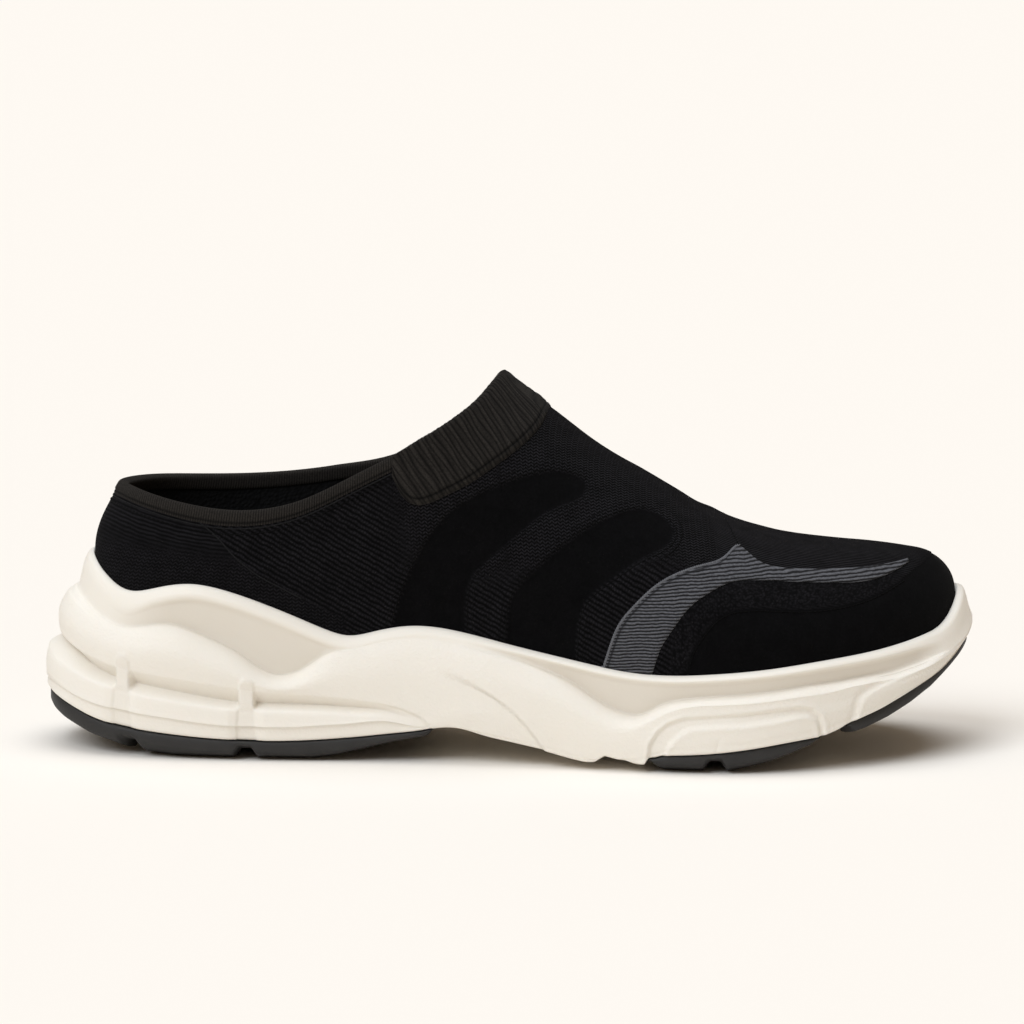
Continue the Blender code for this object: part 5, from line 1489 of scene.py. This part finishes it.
def cuff_roll(rim, out, lift, peak, start):
    """Layers that roll over the rim, square to it, and run down the inside of the wall."""
    climb = np.cross(out, np.gradient(rim, axis=0))
    climb = climb * np.sign(climb[:, 2:]) / np.linalg.norm(climb, axis=1, keepdims=True)
    radius = (WALL / 2 + lift + 0.0002 * peak)[:, None]
    reach = ((0.42 + 0.18 * peak) * (0.25 + 0.75 * start))[:, None]
    layers = []
    for angle in np.linspace(0.14, 0.97, 9) * math.pi:
        layers.append(rim + out * (math.cos(angle) * radius - WALL / 2)
                      + climb * math.sin(angle) * radius * reach)
    for down in (0.0015, 0.0035, 0.0050):
        layers.append(rim - out * (radius + WALL / 2) * 0.99 - climb * down)
    layers.append(rim - out * WALL * 0.8 - climb * 0.0052)
    layers.append(rim - out * WALL * 0.5 - climb * 0.0010)
    return layers


def make_cuff():
    """Ribbed cuff over the instep: knitted ribs, a welt near its foot and a rolled top."""
    turns, v = cuff_grid(CUFF_COLUMNS, CUFF_ROWS)
    base = upper_point(turns, v)
    normal = upper_normal(turns, v)
    s = np.linspace(0, 1, CUFF_ROWS)[None, :]
    crown = cuff_crown(cuff_run(base), s)
    tall = np.linalg.norm(base[:, -1] - base[:, 0], axis=1)[:, None]
    to_foot = (1 - s) * tall / MM
    to_rim = s * tall / MM
    welt = np.exp(-((to_foot - CUFF_WELT) / 0.4) ** 2)
    body = np.minimum(1, to_foot / 1.9) ** 0.7
    front = smoothstep(0.78, 1.0, 1 - np.abs(np.linspace(-1, 1, len(base))))[:, None]
    share = folded(turns[:, 0])[0] / APEX
    peak = smoothstep(0.88, 0.965, share)
    start = smoothstep(CUFF_START, CUFF_START + 0.05, share)
    lift = 0.0002 + (0.0009 + (0.0004 - 0.0002 * front) * crown - 0.0004 * welt) * body
    lift = lift * (1 - 0.35 * front * smoothstep(6, 1, to_foot))
    lift = lift + 0.0004 * peak[:, None] * np.exp(-(to_rim / 5) ** 2)
    lift = lift * (0.78 + 0.22 * start[:, None])
    outer = base + normal * lift[..., None]
    layers = cuff_roll(base[:, 0], normal[:, 0], lift[:, 0], peak, start)
    hidden = base[:, 2::7] - normal[:, 2::7] * 0.0004
    points = np.concatenate([outer[:, ::-1], np.stack(layers, 1), hidden], 1)
    cuff = sleeve(points, "ribbed_cuff", ribbed, ["cuff"])
    # Painted highlight on the ribs' crowns, carried over the rolled top; the welt's sunken groove
    # stays dark as painted shade, and the hidden rows get none
    tone = np.concatenate([(crown * (1 - 0.85 * welt))[:, ::-1],
                           np.repeat(crown[:, :1], len(layers), 1),
                           np.zeros((len(points), hidden.shape[1]))], 1)
    set_value(cuff, "crown", tone)


make_cuff()


def accent_rows():
    """Turn and v along the outer and the inner edge of the accent."""
    places = np.linspace(0, 1, len(ACCENT))
    curves = [spline(places, values) for values in columns_of(ACCENT, 0, 1, 2, 3)]
    at = np.linspace(0, 1, 200)
    outer_along, outer_height, inner_along, inner_height = [curve(at) for curve in curves]
    outer_turn, inner_turn = turn_at(outer_along), turn_at(inner_along)
    return (outer_turn, share_of_height(outer_turn, outer_height), inner_turn,
            share_of_height(inner_turn, inner_height))


accent_edges = accent_rows()


def make_accent(name, medial):
    """Inlaid grey jacquard panel with a soft rounded edge."""
    outer_turn, outer_v, inner_turn, inner_v = accent_edges
    s = np.concatenate([np.linspace(0, 0.84, 24), np.linspace(0.86, 1, 16)])[None, :]
    turns = inner_turn[:, None] * (1 - s) + outer_turn[:, None] * s
    v = inner_v[:, None] * (1 - s) + outer_v[:, None] * s
    if medial:
        turns = TAU - turns
    base = upper_point(turns, v)
    normal = upper_normal(turns, v)
    edge = np.minimum(1, np.minimum(s, 1 - s) * 12) ** 0.5
    lift = 0.0002 + 0.0005 * edge + 0 * turns
    points = np.concatenate([base + normal * lift[..., None],
                             (base - normal * 0.0006)[:, ::3][:, ::-1]], 1)
    panel = sleeve(points, name, jacquard,
                   ["accent_medial" if medial else "accent_lateral"])
    wide = np.linalg.norm(base[:, 0] - base[:, -1], axis=1)[:, None] / MM
    seam = np.exp(-(((1 - s) * wide - 1.15) / 0.35) ** 2)
    seam = seam * smoothstep(0.55, 0.45, np.linspace(0, 1, len(base)))[:, None]
    tone = np.concatenate([1 - 0.9 * seam, np.zeros((len(base), points.shape[1] - s.shape[1]))], 1)
    set_value(panel, "crown", tone)


make_accent("accent_outer_side", False)
make_accent("accent_inner_side", True)


def make_insole():
    """Cloth-covered insole with a rounded edge, dished a little under the heel."""
    half = np.linspace(0, math.pi, 181)
    turns = np.concatenate([half, TAU - half[-2:0:-1]])
    inset = feather_inset(turns) + WALL + 0.0009
    low = seat_height(turns) + CLEARANCE
    rows = []
    for step_in, up in ((0.0006, 0), (0, 0.1), (0, 0.6), (0.0004, 0.8), (0.0012, 0.95),
                        (0.0024, 1.0)):
        rows.append(side_point(turns, inset + step_in, low + INSOLE_THICK * up))
    points = np.stack(rows, 1)
    count, total = points.shape[:2]
    faces = [face[::-1] for face in grid_faces(count, total, True)]
    base = count * total
    top, top_faces = cross_sheet(count, total, total - 1, points[:, -1], 17, insole_dish, base)
    under_faces = cross_sheet(count, total, 0, points[:, 0], 1, None, 0)[1]
    vertices = np.concatenate([points.reshape(-1, 3), top])
    thing = mesh_piece("insole_board", vertices, faces + top_faces + under_faces, [insole_cloth])
    face_out(thing)
    set_uv(thing, vertices[:, 0] / MM, vertices[:, 1] / MM)
    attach(thing, "root")
    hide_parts("insole")


def insole_dish(x, share):
    """A little lower in the middle of the heel."""
    return -0.0012 * math.sin(math.pi * share) * math.exp(-((x + 0.10) / 0.03) ** 2)


make_insole()

# Stitches and piping

def on_upper(path):
    """Turn and v of places in side view (x and z in millimetres) on the upper."""
    path = np.asarray(path, float) * MM
    turn = turn_at(path[:, 0] / LENGTH + 0.5)
    for _ in range(8):
        v = share_at(turn, path[:, 1])
        here = upper_point(turn, v)[:, 0]
        ahead = upper_point(turn + 0.002, v)[:, 0]
        turn = turn + np.clip((path[:, 0] - here) * 0.002 / (ahead - here), -0.05, 0.05)
    return turn, v


def offset_path(path, distance):
    """The path moved to its right by a distance."""
    path = np.asarray(path, float)
    run = np.gradient(path, axis=0)
    run = run / np.linalg.norm(run, axis=1, keepdims=True)
    return path + np.stack([run[:, 1], -run[:, 0]], -1) * distance


def bead_tree():
    """Geometry nodes that set beads end to end along a line, lying along it or across it."""
    tree = bpy.data.node_groups.new("beads_along_a_line", "GeometryNodeTree")
    tree.interface.new_socket("Geometry", in_out="OUTPUT", socket_type="NodeSocketGeometry")
    tree.interface.new_socket("Geometry", in_out="INPUT", socket_type="NodeSocketGeometry")
    for name in ("Spacing", "Length", "Width", "Slant"):
        tree.interface.new_socket(name, in_out="INPUT", socket_type="NodeSocketFloat")
    tree.interface.new_socket("Thread", in_out="INPUT", socket_type="NodeSocketMaterial")
    given = add(tree, "NodeGroupInput").outputs
    line = add(tree, "GeometryNodeMeshToCurve", {}, {0: given["Geometry"]})
    even = add(tree, "GeometryNodeCurveToPoints", {"mode": "LENGTH"},
               {"Curve": line.outputs[0], "Length": given["Spacing"]})
    ball = add(tree, "GeometryNodeMeshUVSphere", {"Segments": 7, "Rings": 5, "Radius": 0.5})
    smooth = add(tree, "GeometryNodeSetShadeSmooth", {}, {"Geometry": ball.outputs[0]})
    size = add(tree, "ShaderNodeCombineXYZ", {}, {0: given["Width"], 1: given["Width"],
                                                  2: given["Length"]})
    long_bead = add(tree, "GeometryNodeTransform", {}, {"Geometry": smooth.outputs[0],
                                                        "Scale": size.outputs[0]})
    tilt = add(tree, "ShaderNodeCombineXYZ", {}, {0: given["Slant"]})
    leaned = add(tree, "GeometryNodeTransform", {}, {"Geometry": long_bead.outputs[0],
                                                     "Rotation": tilt.outputs[0]})
    placed = add(tree, "GeometryNodeInstanceOnPoints", {},
                 {"Points": even.outputs["Points"], "Instance": leaned.outputs[0],
                  "Rotation": even.outputs["Rotation"]})
    real = add(tree, "GeometryNodeRealizeInstances", {}, {0: placed.outputs[0]})
    dressed = add(tree, "GeometryNodeSetMaterial", {}, {"Geometry": real.outputs[0],
                                                        "Material": given["Thread"]})
    add(tree, "NodeGroupOutput", {}, {0: dressed.outputs[0]})
    return tree


beads = bead_tree()


def sew(name, lines, spacing, length, width, slant, thread):
    """Thread or cord of beads along lines of points, as one plain mesh."""
    points = []
    edges = []
    for line in lines:
        start = len(points)
        points += [tuple(point) for point in line]
        edges += [(start + i, start + i + 1) for i in range(len(line) - 1)]
    data = bpy.data.meshes.new(name + "_line")
    data.from_pydata(points, edges, [])
    guide = bpy.data.objects.new(name + "_line", data)
    bpy.context.scene.collection.objects.link(guide)
    modifier = guide.modifiers.new("beads", "NODES")
    modifier.node_group = beads
    sockets = {item.name: item.identifier for item in beads.interface.items_tree
               if item.in_out == "INPUT"}
    values = {"Spacing": spacing, "Length": length, "Width": width, "Slant": slant,
              "Thread": thread}
    for socket, value in values.items():
        modifier[sockets[socket]] = value
    dressed = guide.evaluated_get(bpy.context.evaluated_depsgraph_get())
    mesh = bpy.data.meshes.new_from_object(dressed)
    bpy.data.objects.remove(guide)
    mesh.name = name
    thing = bpy.data.objects.new(name, mesh)
    bpy.context.scene.collection.objects.link(thing)
    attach(thing, "root")
    return thing


def line_on_upper(turn, v, lift):
    """Places a little above the cloth."""
    return upper_point(turn, v) + upper_normal(turn, v) * lift


def both_lines(path, lift):
    """A side-view path laid on the outer and on the inner side of the upper."""
    turn, v = on_upper(path)
    kept = (v > 0.004) & (v < 0.97)
    turn, v = turn[kept], v[kept]
    return [line_on_upper(turn, v, lift), line_on_upper(TAU - turn, v, lift)]


def stitch_upper():
    """Seams of thread round the windows, at the toe and under the rim, and three cords."""
    seams = []
    for window in (WINDOW_BACK, WINDOW_FRONT):
        path = fine_line(window, 5)
        for distance, lift in ((0.5, -0.00002), (2.2, 0.00012)):
            moved = offset_path(path, distance)
            away = np.abs(inside_distance(moved, path))
            seams += both_lines(moved[away > distance - 0.15], lift)
    seams += both_lines(fine_line(TOE_SEAM, 6), 0.00004)
    seams += both_lines(offset_path(fine_line(CAP_SEAM, 5), 1.0), -0.00015)
    end = CUFF_START * APEX - 0.01
    turn = np.linspace(-end, end, 900)
    seams.append(line_on_upper(turn, rim_share(turn, 0.0072), 0.0001))
    sew("seam_stitches", seams, spacing=0.0017, length=0.0016, width=0.00038, slant=0.0,
        thread=black_thread)
    cords = both_lines(fine_line(QUARTER_SEAM, 6), 0.00002)
    cords.append(line_on_upper(turn, rim_share(turn, 0.0056), 0.00005))
    sew("seam_cords", cords, spacing=0.0006, length=0.0014, width=0.00048, slant=0.0,
        thread=black_cord)


def pipe_accents():
    """Twisted cord along the rear edge of each accent, from the sole to its highest place."""
    turn, v = accent_edges[:2]
    peak = len(turn) // 2 + 1  # the accent's highest place is the middle row of its table
    turn, v = turn[:peak], v[:peak]
    lines = [line_on_upper(side, v, 0.00045) for side in (turn, TAU - turn)]
    sew("accent_piping", lines, spacing=0.00075, length=0.0016, width=0.00062,
        slant=math.radians(32), thread=grey_cord)


stitch_upper()
pipe_accents()


# Camera, floor and light

AZIMUTH, ELEVATION = math.radians(4), math.radians(8)
DISTANCE = 1.6
PIXELS_PER_MM = 3.087
PICTURE_WIDE = 1024
AIM = Vector((0.001, 0.0, 0.0756))
back = Vector((math.sin(AZIMUTH) * math.cos(ELEVATION), -math.cos(AZIMUTH) * math.cos(ELEVATION),
               math.sin(ELEVATION)))
camera_data = bpy.data.cameras.new("camera")
camera_data.sensor_width = 36
camera_data.lens = camera_data.sensor_width * PIXELS_PER_MM * DISTANCE / MM / PICTURE_WIDE
camera = bpy.data.objects.new("camera", camera_data)
camera.location = AIM + back * DISTANCE
camera.rotation_mode = "QUATERNION"
camera.rotation_quaternion = back.to_track_quat("Z", "Y")
bpy.context.scene.collection.objects.link(camera)
bpy.context.scene.camera = camera


def make_floor():
    """Wide plain floor of pale matte paper that reaches past the view on every side."""
    steps = np.linspace(-24, 24, 9)
    points = [(x, y, 0.0) for x in steps for y in steps]
    faces = grid_faces(len(steps), len(steps), False)
    material, _, shader = start_material("matte_paper_sweep", 1.0, 0.0)
    shader.inputs["Base Color"].default_value = colour("#FBF6EE")
    mesh_piece("studio_floor", points, faces, [material])


COOL = (0.855, 0.92, 1.0)  # the tint of both lamps; the world fills the shadows warmly


def make_sun(name, towards, spread, strength, tint):
    """Broad soft light from one side of the sky, the same all over the floor."""
    data = bpy.data.lights.new(name, "SUN")
    data.angle = math.radians(spread)
    data.energy = strength
    data.color = tint
    light = bpy.data.objects.new(name, data)
    light.rotation_mode = "QUATERNION"
    light.rotation_quaternion = Vector(towards).to_track_quat("Z", "Y")
    bpy.context.scene.collection.objects.link(light)


make_floor()
make_sun("key_softbox", (-0.5, -0.75, 0.9), 38, 1.78, COOL)
make_sun("top_softbox", (0.0, 0.10, 1.0), 50, 1.44, COOL)
world = bpy.data.worlds.new("studio")
bpy.context.scene.world = world
world.use_nodes = True
glow = world.node_tree.nodes["Background"]
glow.inputs["Color"].default_value = colour("#FFE9CF")
glow.inputs["Strength"].default_value = 0.30
bpy.context.scene.view_settings.view_transform = "Standard"
